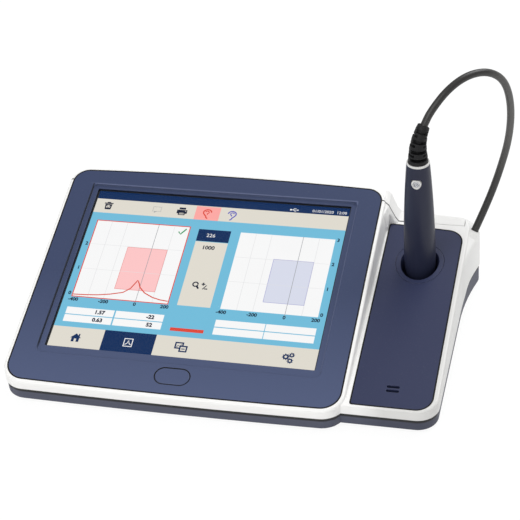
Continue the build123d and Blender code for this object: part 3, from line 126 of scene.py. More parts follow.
def newGroup(name, inputs, outputs):
    group = bpy.data.node_groups.new(name, "ShaderNodeTree")
    for label, kind, value in inputs:
        socket = group.interface.new_socket(label, in_out="INPUT", socket_type="NodeSocket" + kind)
        socket.default_value = value
    for label, kind in outputs:
        group.interface.new_socket(label, in_out="OUTPUT", socket_type="NodeSocket" + kind)
    start = group.nodes.new("NodeGroupInput")
    end = group.nodes.new("NodeGroupOutput")
    return group, start, end


def link(tree, start, end):
    tree.links.new(start, end)


# an input takes either a link or a plain value
def feed(tree, socket, value):
    if isinstance(value, bpy.types.NodeSocket):
        link(tree, value, socket)
    else:
        socket.default_value = value


def place(tree, kind, settings=None, **values):
    node = tree.nodes.new("ShaderNode" + kind)
    for key, value in (settings or {}).items():
        setattr(node, key, value)
    for key, value in values.items():
        feed(tree, node.inputs[key.replace("_", " ")], value)
    return node


def mathNode(tree, what, a, b=0.0, clamp=False):
    node = place(tree, "Math", {"operation": what, "use_clamp": clamp})
    feed(tree, node.inputs[0], a)
    feed(tree, node.inputs[1], b)
    return node.outputs[0]


def times(tree, a, b, clamp=False):
    return mathNode(tree, "MULTIPLY", a, b, clamp)


# how far a value is from the middle, either way
def away(tree, value, middle):
    return mathNode(tree, "ABSOLUTE", mathNode(tree, "SUBTRACT", value, middle))


def mixColour(tree, share, a, b):
    node = place(tree, "Mix", {"data_type": "RGBA"})
    feed(tree, node.inputs[0], share)
    for socket, colour in ((node.inputs[6], a), (node.inputs[7], b)):
        feed(tree, socket, colour if isinstance(colour, bpy.types.NodeSocket) else (*colour[:3], 1.0))
    return node.outputs[2]


def spread(tree, value, low, high, toLow=0.0, toHigh=1.0):
    node = place(tree, "MapRange")
    for socket, number in zip(node.inputs, (value, low, high, toLow, toHigh)):
        feed(tree, socket, number)
    return node.outputs[0]


# 0 at the first place and 1 at the second, both in mm
def ramp(tree, value, first, second):
    return spread(tree, value, first * mm, second * mm)


def objectPoints(tree):
    return tree.nodes.new("ShaderNodeTexCoord").outputs["Object"]


def objectAxes(tree):
    return place(tree, "SeparateXYZ", Vector=objectPoints(tree)).outputs


# fine spark-eroded grain of a moulded part, over a broader one
grainSet = {"broad": 0.34, "broadShare": 0.6, "tone": (0.3, 0.7)}


def makeMouldGrain(s):
    group, start, end = newGroup(
        "mouldGrain",
        [("Size", "Float", 1800.0), ("Depth", "Float", 1.0)],
        [("Height", "Float"), ("Tone", "Float")],
    )
    points = objectPoints(group)
    size = start.outputs["Size"]
    fine = place(group, "TexNoise", Vector=points, Scale=size, Detail=3.0, Roughness=0.6)
    broad = place(group, "TexNoise", Vector=points, Scale=times(group, size, s["broad"]), Detail=2.0)
    both = mathNode(group, "ADD", fine.outputs["Fac"], times(group, broad.outputs["Fac"], s["broadShare"]))
    link(group, times(group, both, start.outputs["Depth"]), end.inputs["Height"])
    link(group, spread(group, fine.outputs["Fac"], *s["tone"]), end.inputs["Tone"])
    return group


# slow drift of tone over a part, and thin dust on what faces up
driftSet = {
    "slow": 14.0,
    "upward": (0.2, 0.95),  # how far a face has to look up to hold dust
    "specks": 900.0,
    "speckLevels": (0.6, 0.75),
    "clouds": 55.0,
    "dustColour": (0.62, 0.6, 0.57),
}


def makeToneDrift(s):
    group, start, end = newGroup(
        "toneDrift",
        [("Base", "Color", (0.5, 0.5, 0.5, 1)), ("Drift", "Float", 0.06), ("Dust", "Float", 0.05)],
        [("Color", "Color"), ("Dusty", "Float")],
    )
    points = objectPoints(group)
    slow = place(group, "TexNoise", Vector=points, Scale=s["slow"], Detail=3.0, Roughness=0.55)
    swing = times(group, mathNode(group, "SUBTRACT", slow.outputs["Fac"], 0.5), start.outputs["Drift"])
    value = mathNode(group, "ADD", swing, 1.0)
    light = place(group, "HueSaturation", Color=start.outputs["Base"], Value=value)
    face = group.nodes.new("ShaderNodeNewGeometry")
    up = place(group, "SeparateXYZ", Vector=face.outputs["Normal"])
    upward = spread(group, up.outputs["Z"], *s["upward"])
    specks = place(group, "TexNoise", Vector=points, Scale=s["specks"], Detail=2.0)
    clouds = place(group, "TexNoise", Vector=points, Scale=s["clouds"], Detail=4.0)
    speckled = times(group, spread(group, specks.outputs["Fac"], *s["speckLevels"]), clouds.outputs["Fac"])
    dusty = times(group, times(group, speckled, upward), start.outputs["Dust"], True)
    link(group, mixColour(group, dusty, light.outputs["Color"], s["dustColour"]), end.inputs["Color"])
    link(group, dusty, end.inputs["Dusty"])
    return group


# edges lightened, partly as rubbed wear and partly as painted highlight, found where a rounded normal leaves
# the real one
edgeWearAndGlintSet = {
    "samples": 6,
    "lean": (0.985, 0.8),  # how well the two normals agree where the rubbing starts and where it is full
    "patches": (0.35, 0.65),
    "least": 0.35,
}


def makeEdgeWearAndGlint(s):
    group, start, end = newGroup(
        "edgeWearAndGlint",
        [("Radius", "Float", 0.0006), ("Amount", "Float", 0.5), ("Patches", "Float", 160.0)],
        [("Mask", "Float"), ("Normal", "Vector")],
    )
    soft = place(group, "Bevel", {"samples": s["samples"]}, Radius=start.outputs["Radius"])
    face = group.nodes.new("ShaderNodeNewGeometry")
    lean = place(group, "VectorMath", {"operation": "DOT_PRODUCT"})
    link(group, soft.outputs["Normal"], lean.inputs[0])
    link(group, face.outputs["Normal"], lean.inputs[1])
    edge = spread(group, lean.outputs["Value"], *s["lean"])
    patches = place(group, "TexNoise", Vector=objectPoints(group), Scale=start.outputs["Patches"], Detail=4.0)
    broken = spread(group, patches.outputs["Fac"], *s["patches"], s["least"], 1.0)
    mask = times(group, times(group, edge, broken), start.outputs["Amount"], True)
    link(group, mask, end.inputs["Mask"])
    link(group, soft.outputs["Normal"], end.inputs["Normal"])
    return group


# drawn lines of brushed sheet
def makeBrushedLines():
    group, start, end = newGroup(
        "brushedLines",
        [("Along", "Vector", (40.0, 4000.0, 4000.0)), ("Depth", "Float", 1.0)],
        [("Height", "Float"), ("Tone", "Float")],
    )
    mapped = place(group, "Mapping", Vector=objectPoints(group), Scale=start.outputs["Along"])
    lines = place(group, "TexNoise", Vector=mapped.outputs["Vector"], Scale=1.0, Detail=3.0)
    link(group, times(group, lines.outputs["Fac"], start.outputs["Depth"]), end.inputs["Height"])
    link(group, lines.outputs["Fac"], end.inputs["Tone"])
    return group


# lit cells of a display and the slight, uneven fall of its backlight
cellSet = {"ripple": 0.012, "slow": 9.0}


def makeDisplayCells(s):
    group, start, end = newGroup(
        "displayCells",
        [("Shade", "Color", (1, 1, 1, 1)), ("Pitch", "Float", 0.000266), ("Fall", "Float", 0.03)],
        [("Color", "Color")],
    )
    wave = mathNode(group, "DIVIDE", objectAxes(group)["X"], start.outputs["Pitch"])
    cell = mathNode(group, "SINE", times(group, wave, 2 * math.pi))
    slow = place(group, "TexNoise", Vector=objectPoints(group), Scale=s["slow"], Detail=1.0)
    fall = times(group, slow.outputs["Fac"], start.outputs["Fall"])
    even = mathNode(group, "ADD", times(group, cell, s["ripple"]), 1.0)
    level = mathNode(group, "SUBTRACT", even, fall)
    lit = place(group, "HueSaturation", Color=start.outputs["Shade"], Value=level)
    link(group, lit.outputs["Color"], end.inputs["Color"])
    return group


# copper runs under the green mask of a circuit board
runSet = {
    "bricks": {"Mortar_Size": 0.05, "Mortar_Smooth": 0.1, "Brick_Width": 1.6, "Row_Height": 0.45},
    "rows": {"offset": 0.37, "squash": 1.4},
    "islands": 120.0,
    "islandEdge": (0.06, 0.03),
}


def makeBoardRuns(s):
    group, start, end = newGroup("boardRuns", [("Pitch", "Float", 260.0)], [("Runs", "Float")])
    points = objectPoints(group)
    bricks = place(group, "TexBrick", s["rows"], Vector=points, Scale=start.outputs["Pitch"], **s["bricks"])
    islands = place(group, "TexVoronoi", {"feature": "DISTANCE_TO_EDGE"}, Vector=points, Scale=s["islands"])
    rims = spread(group, islands.outputs["Distance"], *s["islandEdge"])
    link(group, mathNode(group, "MAXIMUM", bricks.outputs["Fac"], rims), end.inputs["Runs"])
    return group


# painted shadow along the top of the base, where the white shells overhang it, which rises towards the back,
# in mm
seamShadowSet = {
    "along": (31.7, 55.7),
    "heights": (10.4, 15.5),
    "soft": 0.15,
    "colour": (0.004, 0.004, 0.006),
}


def makeSeamShadow(s):
    group, start, end = newGroup("seamShadow", [("Width", "Float", 0.0008)], [("Mask", "Float")])
    axes = objectAxes(group)
    rise = place(
        group, "MapRange", {"interpolation_type": "SMOOTHSTEP"}, Value=axes["Y"],
        From_Min=s["along"][0] * mm, From_Max=s["along"][1] * mm,
        To_Min=s["heights"][0] * mm, To_Max=s["heights"][1] * mm,
    )
    under = mathNode(group, "SUBTRACT", rise.outputs["Result"], axes["Z"])
    depth = mathNode(group, "DIVIDE", under, start.outputs["Width"])
    link(group, spread(group, depth, 1 + s["soft"], 1 - s["soft"]), end.inputs["Mask"])
    return group


# painted shade: the right end of the shells and the base is darker, standing in for the shade that falls
# there, and this fades in between these places, in mm
paintedSideShadeSet = {"across": (85.0, 100.0), "along": (70.0, 35.0)}


def makePaintedSideShade(s):
    group, start, end = newGroup(
        "paintedSideShade",
        [("Base", "Color", (0.5, 0.5, 0.5, 1)), ("Dull", "Color", (0.4, 0.4, 0.4, 1))],
        [("Color", "Color")],
    )
    axes = objectAxes(group)
    share = times(group, ramp(group, axes["X"], *s["across"]), ramp(group, axes["Y"], *s["along"]))
    link(group, mixColour(group, share, start.outputs["Base"], start.outputs["Dull"]), end.inputs["Color"])
    return group


seamShadow = makeSeamShadow(seamShadowSet)
paintedSideShade = makePaintedSideShade(paintedSideShadeSet)
mouldGrain = makeMouldGrain(grainSet)
toneDrift = makeToneDrift(driftSet)
edgeWearAndGlint = makeEdgeWearAndGlint(edgeWearAndGlintSet)
brushedLines = makeBrushedLines()
displayCells = makeDisplayCells(cellSet)
boardRuns = makeBoardRuns(runSet)
print("shared effects made")

# helpers for materials

def useGroup(tree, group, **values):
    return place(tree, "Group", {"node_tree": group}, **values)


def newMaterial(name):
    material = bpy.data.materials.new(name)
    material.use_nodes = True
    return material, material.node_tree, material.node_tree.nodes["Principled BSDF"]


def setValues(shader, **values):
    for key, value in values.items():
        shader.inputs[key.replace("_", " ")].default_value = value


# colour, roughness and bump of a surface; the depth is in mm
def giveSurface(tree, shader, colour, rough, strength, depth, **bump):
    link(tree, colour, shader.inputs["Base Color"])
    link(tree, rough, shader.inputs["Roughness"])
    raised = place(tree, "Bump", Strength=strength, Distance=depth * mm, **bump)
    link(tree, raised.outputs["Normal"], shader.inputs["Normal"])


# painted highlight on the far and right edges of the screen's recess and painted shade on its left edge, in
# mm in the screen's plane from its middle
recessLightSet = {
    "right": 89.35,
    "left": -89.6,
    "far": 67.95,
    "near": -66.0,
    "half": 0.42,  # half the width of an edge
    "soft": 0.1,
    "fadeIn": 3.0,  # how an edge fades at its start
    "fadeOut": 0.3,  # and at its end
    "lit": (0.090, 0.112, 0.205),
    "dark": (0.010, 0.014, 0.028),
}

# the dark joint along the front edge of the rear cover, in mm, which ends just left of the probe
jointSet = {
    "along": 72.93,
    "half": 0.8,
    "soft": 0.1,
    "end": 100.0,
    "fade": 0.5,
    "dark": (0.02, 0.02, 0.02),
}

# painted sheen: the slate plastic is paler to the front, from the first place to the second, in mm
sheenPlaces = (0.0, -88.0)

# what all plastics share, with the widths and depths in mm
plasticBase = {
    "wearAndGlintWidth": 0.5,
    "roughLess": 0.05,
    "roughMore": 0.06,
    "dustRough": 0.5,
    "bump": 0.35,
    "bumpDepth": 0.12,
    "coat": 0.0,
    "coatRough": 0.25,
    "ior": 1.48,
    "shine": 0.5,
}

plastics = {
    "white_shell": dict(
        colour=(0.89, 0.885, 0.87), rough=0.38, grain=2200, depth=0.10, drift=0.02, dust=0.02,
        wearAndGlint=0.12, wearAndGlintColour=(0.95, 0.95, 0.94), coat=0.12, sideShade=(0.69, 0.685, 0.67),
    ),
    "dark_base": dict(
        colour=(0.062, 0.068, 0.105), rough=0.5, grain=1700, depth=0.35, drift=0.08, dust=0.05,
        wearAndGlint=0.35, wearAndGlintColour=(0.13, 0.14, 0.19), seamShadowWidth=2.4, sideShade=(0.040, 0.045, 0.076),
    ),
    "slate_plastic": dict(
        colour=(0.036, 0.052, 0.118), rough=0.44, grain=1700, depth=0.30, drift=0.05, dust=0.03,
        wearAndGlint=0.4, wearAndGlintColour=(0.2, 0.22, 0.31), shine=0.35, frontSheen=(0.068, 0.090, 0.178), recess=recessLightSet,
    ),
    # painted shade: a darker copy of the slate plastic for the side panel and the cradle cup, standing in for
    # the shade on them
    "shaded_panel_slate": dict(
        colour=(0.026, 0.033, 0.082), rough=0.44, grain=1700, depth=0.30, drift=0.05, dust=0.03,
        wearAndGlint=0.4, wearAndGlintColour=(0.16, 0.17, 0.25), shine=0.3,
    ),
    "probe_plastic": dict(
        colour=(0.017, 0.020, 0.043), rough=0.36, grain=2400, depth=0.18, drift=0.05, dust=0.02,
        wearAndGlint=0.3, wearAndGlintColour=(0.08, 0.085, 0.12), coat=0.04, shine=0.3,
    ),
    "key_grey": dict(
        colour=(0.62, 0.63, 0.66), rough=0.4, grain=2600, depth=0.12, drift=0.03, dust=0.03,
        wearAndGlint=0.3, wearAndGlintColour=(0.5, 0.5, 0.53), coat=0.1,
    ),
    "tip_grey": dict(
        colour=(0.45, 0.45, 0.47), rough=0.42, grain=2600, depth=0.14, drift=0.03, dust=0.03,
        wearAndGlint=0.2, wearAndGlintColour=(0.6, 0.6, 0.62), coat=0.05,
    ),
    "black_plastic": dict(
        colour=(0.028, 0.028, 0.030), rough=0.5, grain=1900, depth=0.3, drift=0.1, dust=0.06,
        wearAndGlint=0.35, wearAndGlintColour=(0.09, 0.09, 0.095),
    ),
    "rotor_plastic": dict(
        colour=(0.72, 0.71, 0.68), rough=0.48, grain=2100, depth=0.2, drift=0.04, dust=0.05,
        wearAndGlint=0.2, wearAndGlintColour=(0.8, 0.8, 0.78),
    ),
    "clear_grey": dict(
        colour=(0.40, 0.42, 0.45), rough=0.3, grain=2600, depth=0.1, drift=0.04, dust=0.04,
        wearAndGlint=0.2, wearAndGlintColour=(0.6, 0.62, 0.64), coat=0.15,
    ),
    "display_body": dict(
        colour=(0.012, 0.013, 0.016), rough=0.45, grain=2600, depth=0.1, drift=0.05, dust=0.02,
        wearAndGlint=0.2, wearAndGlintColour=(0.06, 0.06, 0.07),
    ),
}
plastics["rear_white"] = dict(plastics["white_shell"], joint=jointSet)  # the rear cover's own white


def shadeJoint(tree, axes, colour, s):
    line = ramp(tree, away(tree, axes["Y"], s["along"] * mm), s["half"] + s["soft"], s["half"] - s["soft"])
    reach = ramp(tree, axes["X"], s["end"], s["end"] - s["fade"])
    return mixColour(tree, times(tree, line, reach), colour, s["dark"])


# painted highlight where the recess's far and right edges catch the light, and painted shade where its left
# edge stays dark
def paintRecessLight(tree, axes, colour, s):
    tilt = math.radians(screenSet["tilt"])
    x, y, z = screenSet["middle"]
    across = mathNode(tree, "SUBTRACT", axes["X"], x * mm)
    lean = times(tree, axes["Y"], math.cos(tilt))
    lift = times(tree, axes["Z"], math.sin(tilt))
    middle = (y * math.cos(tilt) + z * math.sin(tilt)) * mm
    along = mathNode(tree, "SUBTRACT", mathNode(tree, "ADD", lean, lift), middle)

    def strip(value, line):
        return ramp(tree, away(tree, value, line * mm), s["half"] + s["soft"], s["half"] - s["soft"])

    def between(value, low, high):
        above = ramp(tree, value, low - s["fadeIn"], low + s["fadeIn"])
        below = ramp(tree, value, high + s["fadeOut"], high - s["fadeOut"])
        return times(tree, above, below)

    reach = between(along, s["near"], s["far"])
    far = times(tree, strip(along, s["far"]), between(across, s["left"], s["right"]))
    right = times(tree, strip(across, s["right"]), reach)
    left = times(tree, strip(across, s["left"]), reach)
    colour = mixColour(tree, mathNode(tree, "MAXIMUM", far, right), colour, s["lit"])
    return mixColour(tree, left, colour, s["dark"])


# colour, roughness and bump of a moulded piece, with its drift of tone, grain, dust, and edges lightened by
# wear and painted highlight
def mouldedSkin(tree, s):
    tone = useGroup(tree, toneDrift, Base=(*s["colour"], 1), Drift=s["drift"], Dust=s["dust"])
    grain = useGroup(tree, mouldGrain, Size=s["grain"], Depth=s["depth"])
    wearAndGlint = useGroup(tree, edgeWearAndGlint, Radius=s["wearAndGlintWidth"] * mm, Amount=s["wearAndGlint"])
    # edges lightened as wear and as painted highlight
    colour = mixColour(tree, wearAndGlint.outputs["Mask"], tone.outputs["Color"], s["wearAndGlintColour"])
    low, high = s["rough"] - s["roughLess"], s["rough"] + s["roughMore"]
    rough = spread(tree, grain.outputs["Tone"], 0.0, 1.0, low, high)
    rough = mathNode(tree, "ADD", rough, times(tree, tone.outputs["Dusty"], s["dustRough"]))
    bump = {"Height": grain.outputs["Height"], "Normal": wearAndGlint.outputs["Normal"]}
    return colour, rough, bump


def makePlastic(name, s):
    s = {**plasticBase, **s}
    material, tree, shader = newMaterial(name)
    colour, rough, bump = mouldedSkin(tree, s)
    axes = objectAxes(tree)
    if "joint" in s:
        colour = shadeJoint(tree, axes, colour, s["joint"])
    # painted shade on the right end of the piece
    if "sideShade" in s:
        colour = useGroup(tree, paintedSideShade, Base=colour, Dull=(*s["sideShade"], 1)).outputs["Color"]
    # painted sheen towards the front of the slate plastic
    if "frontSheen" in s:
        colour = mixColour(tree, ramp(tree, axes["Y"], *sheenPlaces), colour, s["frontSheen"])
    if "recess" in s:
        colour = paintRecessLight(tree, axes, colour, s["recess"])
    # painted shadow under the white shells' overhang
    if "seamShadowWidth" in s:
        line = useGroup(tree, seamShadow, Width=s["seamShadowWidth"] * mm)
        colour = mixColour(tree, line.outputs["Mask"], colour, seamShadowSet["colour"])
    giveSurface(tree, shader, colour, rough, s["bump"], s["bumpDepth"], **bump)
    setValues(shader, Coat_Weight=s["coat"], Coat_Roughness=s["coatRough"])
    setValues(shader, IOR=s["ior"], Specular_IOR_Level=s["shine"])
    return material


# what all rubbers share, with the widths and depths in mm
rubberBase = {
    "depth": 0.5,
    "drift": 0.2,
    "dust": 0.10,
    "wearAndGlint": 0.45,
    "wearAndGlintWidth": 0.4,
    "roughLess": 0.08,
    "roughMore": 0.08,
    "dustRough": 0.0,
    "bump": 0.4,
    "bumpDepth": 0.15,
    "shine": 0.3,
}

rubbers = {
    "foot_rubber": dict(colour=(0.022, 0.022, 0.024), wearAndGlintColour=(0.06, 0.06, 0.062), rough=0.72, grain=1500),
    "black_rubber": dict(colour=(0.006, 0.006, 0.007), wearAndGlintColour=(0.045, 0.045, 0.048), rough=0.55, grain=1700),
    # painted shade: near-black rubber for the strips in the gaps
    "shade_strip_rubber": dict(colour=(0.003, 0.003, 0.004), wearAndGlintColour=(0.008, 0.008, 0.009), rough=0.7, grain=1700),
    "tube_silicone": dict(colour=(0.62, 0.61, 0.58), wearAndGlintColour=(0.72, 0.71, 0.69), rough=0.45, grain=2000),
}


def makeRubber(name, s):
    s = {**rubberBase, **s}
    material, tree, shader = newMaterial(name)
    colour, rough, bump = mouldedSkin(tree, s)
    giveSurface(tree, shader, colour, rough, s["bump"], s["bumpDepth"], **bump)
    setValues(shader, Specular_IOR_Level=s["shine"])
    return material


# what all metals share, with the widths and depths in mm
metalBase = {
    "depth": 0.5,
    "drift": 0.12,
    "dust": 0.05,
    "wearAndGlint": 0.5,
    "wearAndGlintWidth": 0.3,
    "wearAndGlintColour": (0.8, 0.8, 0.8),
    "lineTones": (0.2, 0.8),
    "roughLess": 0.07,
    "roughMore": 0.12,
    "bump": 0.2,
    "bumpDepth": 0.05,
}

metals = {
    "bracket_steel": dict(colour=(0.56, 0.57, 0.58), rough=0.36, along=(60.0, 4200.0, 4200.0)),
    "screw_steel": dict(colour=(0.52, 0.52, 0.54), rough=0.3, along=(900.0, 900.0, 5200.0)),
    "port_metal": dict(colour=(0.62, 0.62, 0.63), rough=0.27, along=(3800.0, 90.0, 3800.0)),
}


def makeMetal(name, s):
    s = {**metalBase, **s}
    material, tree, shader = newMaterial(name)
    lines = useGroup(tree, brushedLines, Along=s["along"], Depth=s["depth"])
    tone = useGroup(tree, toneDrift, Base=(*s["colour"], 1), Drift=s["drift"], Dust=s["dust"])
    wearAndGlint = useGroup(tree, edgeWearAndGlint, Radius=s["wearAndGlintWidth"] * mm, Amount=s["wearAndGlint"])
    colour = mixColour(tree, wearAndGlint.outputs["Mask"], tone.outputs["Color"], s["wearAndGlintColour"])
    low, high = s["rough"] - s["roughLess"], s["rough"] + s["roughMore"]
    rough = spread(tree, lines.outputs["Tone"], *s["lineTones"], low, high)
    bump = {"Height": lines.outputs["Height"], "Normal": wearAndGlint.outputs["Normal"]}
    giveSurface(tree, shader, colour, rough, s["bump"], s["bumpDepth"], **bump)
    setValues(shader, Metallic=1.0)
    return material


boardSet = {
    "colour": (0.012, 0.10, 0.045),
    "runs": (0.03, 0.2, 0.09),
    "pitch": 260.0,
    "drift": 0.15,
    "dust": 0.04,
    "rough": 0.42,
    "runRough": 0.3,
    "bump": 0.3,
    "bumpDepth": 0.04,
}


def makeBoard(name, s):
    material, tree, shader = newMaterial(name)
    runs = useGroup(tree, boardRuns, Pitch=s["pitch"]).outputs["Runs"]
    tone = useGroup(tree, toneDrift, Base=(*s["colour"], 1), Drift=s["drift"], Dust=s["dust"])
    colour = mixColour(tree, runs, tone.outputs["Color"], s["runs"])
    rough = spread(tree, runs, 0, 1, s["rough"], s["runRough"])
    giveSurface(tree, shader, colour, rough, s["bump"], s["bumpDepth"], Height=runs)
    return material


# clear pane, so thin to the eye that only its shine shows
paneSet = {
    "colour": (0.3, 0.34, 0.4),
    "ior": 1.5,
    "smears": dict(Scale=26.0, Detail=5.0, Distortion=0.6),
    "rough": (0.4, 0.75, 0.12, 0.22),  # where the smears start and end, and the roughness there
    "alpha": (0.45, 0.8, 0.02, 0.035),  # the same for how much of the pane shows
}


def makePane(name, s):
    material, tree, shader = newMaterial(name)
    smears = place(tree, "TexNoise", Vector=objectPoints(tree), **s["smears"])
    link(tree, spread(tree, smears.outputs["Fac"], *s["rough"]), shader.inputs["Roughness"])
    link(tree, spread(tree, smears.outputs["Fac"], *s["alpha"]), shader.inputs["Alpha"])
    setValues(shader, Base_Color=(*s["colour"], 1), IOR=s["ior"])
    return material


# the cord's skin, with painted light that makes it paler on the outer side of its loop between these places,
# in mm
cordSkin = {
    "colour": (0.021, 0.020, 0.019),
    "paintedLight": (0.105, 0.102, 0.098),
    "paintedLightAcross": (141.0, 155.0),
    "paintedLightUp": (55.0, 100.0),
    "drift": 0.12,
    "dust": 0.08,
    "grain": 1500.0,
    "depth": 0.45,
    "rough": (0.34, 0.46),
    "bump": 0.3,
    "bumpDepth": 0.1,
}


def makeCordSkin(name, s):
    material, tree, shader = newMaterial(name)
    tone = useGroup(tree, toneDrift, Base=(*s["colour"], 1), Drift=s["drift"], Dust=s["dust"])
    grain = useGroup(tree, mouldGrain, Size=s["grain"], Depth=s["depth"])
    axes = objectAxes(tree)
    # painted light on the outer side of the loop
    paintedLight = times(tree, ramp(tree, axes["X"], *s["paintedLightAcross"]), ramp(tree, axes["Z"], *s["paintedLightUp"]))
    colour = mixColour(tree, paintedLight, tone.outputs["Color"], s["paintedLight"])
    rough = spread(tree, grain.outputs["Tone"], 0, 1, *s["rough"])
    giveSurface(tree, shader, colour, rough, s["bump"], s["bumpDepth"], Height=grain.outputs["Height"])
    return material


finishes = {name: makePlastic(name, s) for name, s in plastics.items()}
finishes.update({name: makeRubber(name, s) for name, s in rubbers.items()})
finishes.update({name: makeMetal(name, s) for name, s in metals.items()})
finishes["circuit_board"] = makeBoard("circuit_board", boardSet)
finishes["display_glass"] = makePane("display_glass", paneSet)
finishes["cord_black"] = makeCordSkin("cord_black", cordSkin)

ownFinish = {"side_panel": "shaded_panel_slate", "cradle_cup": "shaded_panel_slate", "rear_shell": "rear_white"}

for part in frame["record"]["subparts"]:
    node = nodes[part["node"]]
    node.data.materials.clear()
    node.data.materials.append(finishes[ownFinish.get(part["node"], part["material_slot"])])
print("materials placed on", len(nodes), "nodes")

# the probe's cord: its route is out along the run from the start, and up, in mm
cordSet = {
    "diameter": 0.0047,  # in metres
    "length": 0.1817,  # in metres, along the route
    "start": (103.65, 40.043),
    "run": (0.6967, 0.7173),
    "lift": 2.0,  # comes on top of every height in the route
    "route": [
        (4.09, 132.2), (4.89, 133.5), (9.6, 141.01), (23.0, 151.8), (38.5, 156.0), (54.5, 152.3),
        (66.8, 141.0), (72.0, 121.5), (70.8, 99.0), (63.5, 77.3), (53.8, 56.5), (43.63, 39.9),
    ],
    "order": 3,
    "alongSteps": 24,
    "roundSteps": 8,
}


def cordPoint(s, out, height):
    x, y = (s["start"][i] + s["run"][i] * out for i in (0, 1))
    return Vector((x, y, height + s["lift"])) * mm


def makeCord(s):
    points = [cordPoint(s, out, height) for out, height in s["route"]]
    data = bpy.data.curves.new("cordLine", "CURVE")
    data.dimensions = "3D"
    data.resolution_u = s["alongSteps"]
    spline = data.splines.new("NURBS")
    spline.points.add(len(points) - 1)
    for target, point in zip(spline.points, points):
        target.co = (*point, 1.0)
    spline.order_u = s["order"]
    spline.use_endpoint_u = True
    line = bpy.data.objects.new("cordLine", data)
    bpy.context.collection.objects.link(line)
    bpy.context.view_layer.update()
    path = [v.co.copy() for v in bpy.data.meshes.new_from_object(line).vertices]
    data.bevel_depth = s["diameter"] / 2
    data.bevel_resolution = s["roundSteps"]
    data.use_fill_caps = True
    bpy.context.view_layer.update()
    tube = bpy.data.meshes.new_from_object(line)
    tube.materials.clear()
    bpy.data.objects.remove(line)
    for face in tube.polygons:
        face.use_smooth = True
    cord = addToScene("probeCord", tube, [finishes["cord_black"]])
    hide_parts("probe_cable")
    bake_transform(cord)
    return cord


probeCord = makeCord(cordSet)
print("cord laid")

# slotted strain relief on the probe, in mm and degrees
bootSet = {
    "start": (*cordSet["start"], 112.3),
    "lean": cordSet["run"],
    "straight": 6.2,
    "bend": 32.0,
    "turn": 32.1,
    "foot": 6.2,
    "end": 3.8,
    "core": 2.7,  # radius at the bottom of a slot
    "flare": 0.035,  # how much each rib narrows upwards
    "frontSide": -75.0,  # the side that the wide slots face
    "slots": [
        dict(at=(3.4, 8.6, 14.6, 20.6), height=2.1, half=58.0, side=0.0),
        dict(at=(6.1, 12.0, 17.8), height=1.3, half=57.0, side=90.0),
    ],
    "slotEnds": 3.0,  # how softly a slot ends, in degrees
    "edge": 0.16,  # width of a slot's slanted edge
    "edgeRows": (-0.8, -0.5, 0, 0.5, 0.8),  # rows of points at an edge, in its widths
    "rows": 40,
    "steps": 144,
    "spigot": 3.6,  # radius of the plug in the probe's top
    "spigotDepth": 5.8,
    "lip": 0.45,
    "mouth": 2.75,
    "mouthDepth": 1.5,
    "sharp": 35.0,
}


# the boot's middle at a place along it, and the directions out to the bend and across
def bootFrame(s, along):
    turn = max(0.0, along - s["straight"]) / s["bend"]
    lean = Vector((*s["lean"], 0))
    up = Vector((0, 0, 1))
    centre = Vector(s["start"]) + up * (min(along, s["straight"]) + s["bend"] * math.sin(turn))
    centre += lean * s["bend"] * (1 - math.cos(turn))
    out = lean * math.cos(turn) - up * math.sin(turn)
    return centre, out, up.cross(lean)


def bootSpot(s, along, angle, radius):
    centre, out, across = bootFrame(s, along)
    turned = angle - math.atan2(s["lean"][1], s["lean"][0])
    return (centre + (out * math.cos(turned) + across * math.sin(turned)) * radius) * mm


# 1 in a slot and 0 outside it
def slotShare(distance, half, edge):
    return min(1.0, max(0.0, (half + edge / 2 - abs(distance)) / edge))


# radius of the ribbed cone, which goes down to the core in the slots
def bootRadius(s, along, angle, length):
    radius = s["foot"] + (s["end"] - s["foot"]) * along / length
    cuts = [0.0, *s["slots"][0]["at"], length]
    low = max(at for at in cuts if at <= along)
    high = min(at for at in cuts if at >= along)
    rise = (along - low) / (high - low) if high > low else 0.0
    radius *= 1 + s["flare"] * (0.5 - rise)
    deep = 0.0
    for kind in s["slots"]:
        aside = abs((math.degrees(angle) - s["frontSide"] - kind["side"] + 90) % 180 - 90)
        wide = slotShare(aside, kind["half"], s["slotEnds"])
        for at in kind["at"]:
            deep = max(deep, slotShare(along - at, kind["height"] / 2, s["edge"]) * wide)
    return radius + (s["core"] - radius) * deep


def makeBoot(s):
    length = s["straight"] + s["bend"] * math.radians(s["turn"])
    rows = {length * i / s["rows"] for i in range(s["rows"])} | {length}
    for kind in s["slots"]:
        for at in kind["at"]:
            for side in (-1, 1):
                rows.update(at + side * (kind["height"] / 2 + share * s["edge"]) for share in s["edgeRows"])
    rows = sorted(row for row in rows if 0 <= row <= length)
    turns = turnsOf(s["steps"])
    rings = [[(-s["spigotDepth"], s["spigot"])] * s["steps"], [(0.0, s["spigot"])] * s["steps"]]
    rings += [[(row, bootRadius(s, row, turn, length)) for turn in turns] for row in rows]
    top = [radius for row, radius in rings.pop()]
    rings.append([(length - s["lip"], radius) for radius in top])
    rings.append([(length, radius - s["lip"]) for radius in top])
    rings.append([(length, s["mouth"])] * s["steps"])
    rings.append([(length - s["mouthDepth"], s["mouth"])] * s["steps"])
    work = bmesh.new()
    grid = []
    for ring in rings:
        spots = [bootSpot(s, along, turn, radius) for (along, radius), turn in zip(ring, turns)]
        grid.append([work.verts.new(spot) for spot in spots])
    for low, high in zip(grid, grid[1:]):
        bridge(work, low, high)
    work.faces.new(grid[0][::-1])
    work.faces.new(grid[-1])
    mesh = closeMesh(work, "slottedBoot")
    boot = addToScene("slottedBoot", mesh, [finishes["black_rubber"]])
    mesh.shade_smooth()
    mesh.set_sharp_from_angle(angle=math.radians(s["sharp"]))
    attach(boot, "probe")
    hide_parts("probe_boot")
    return boot


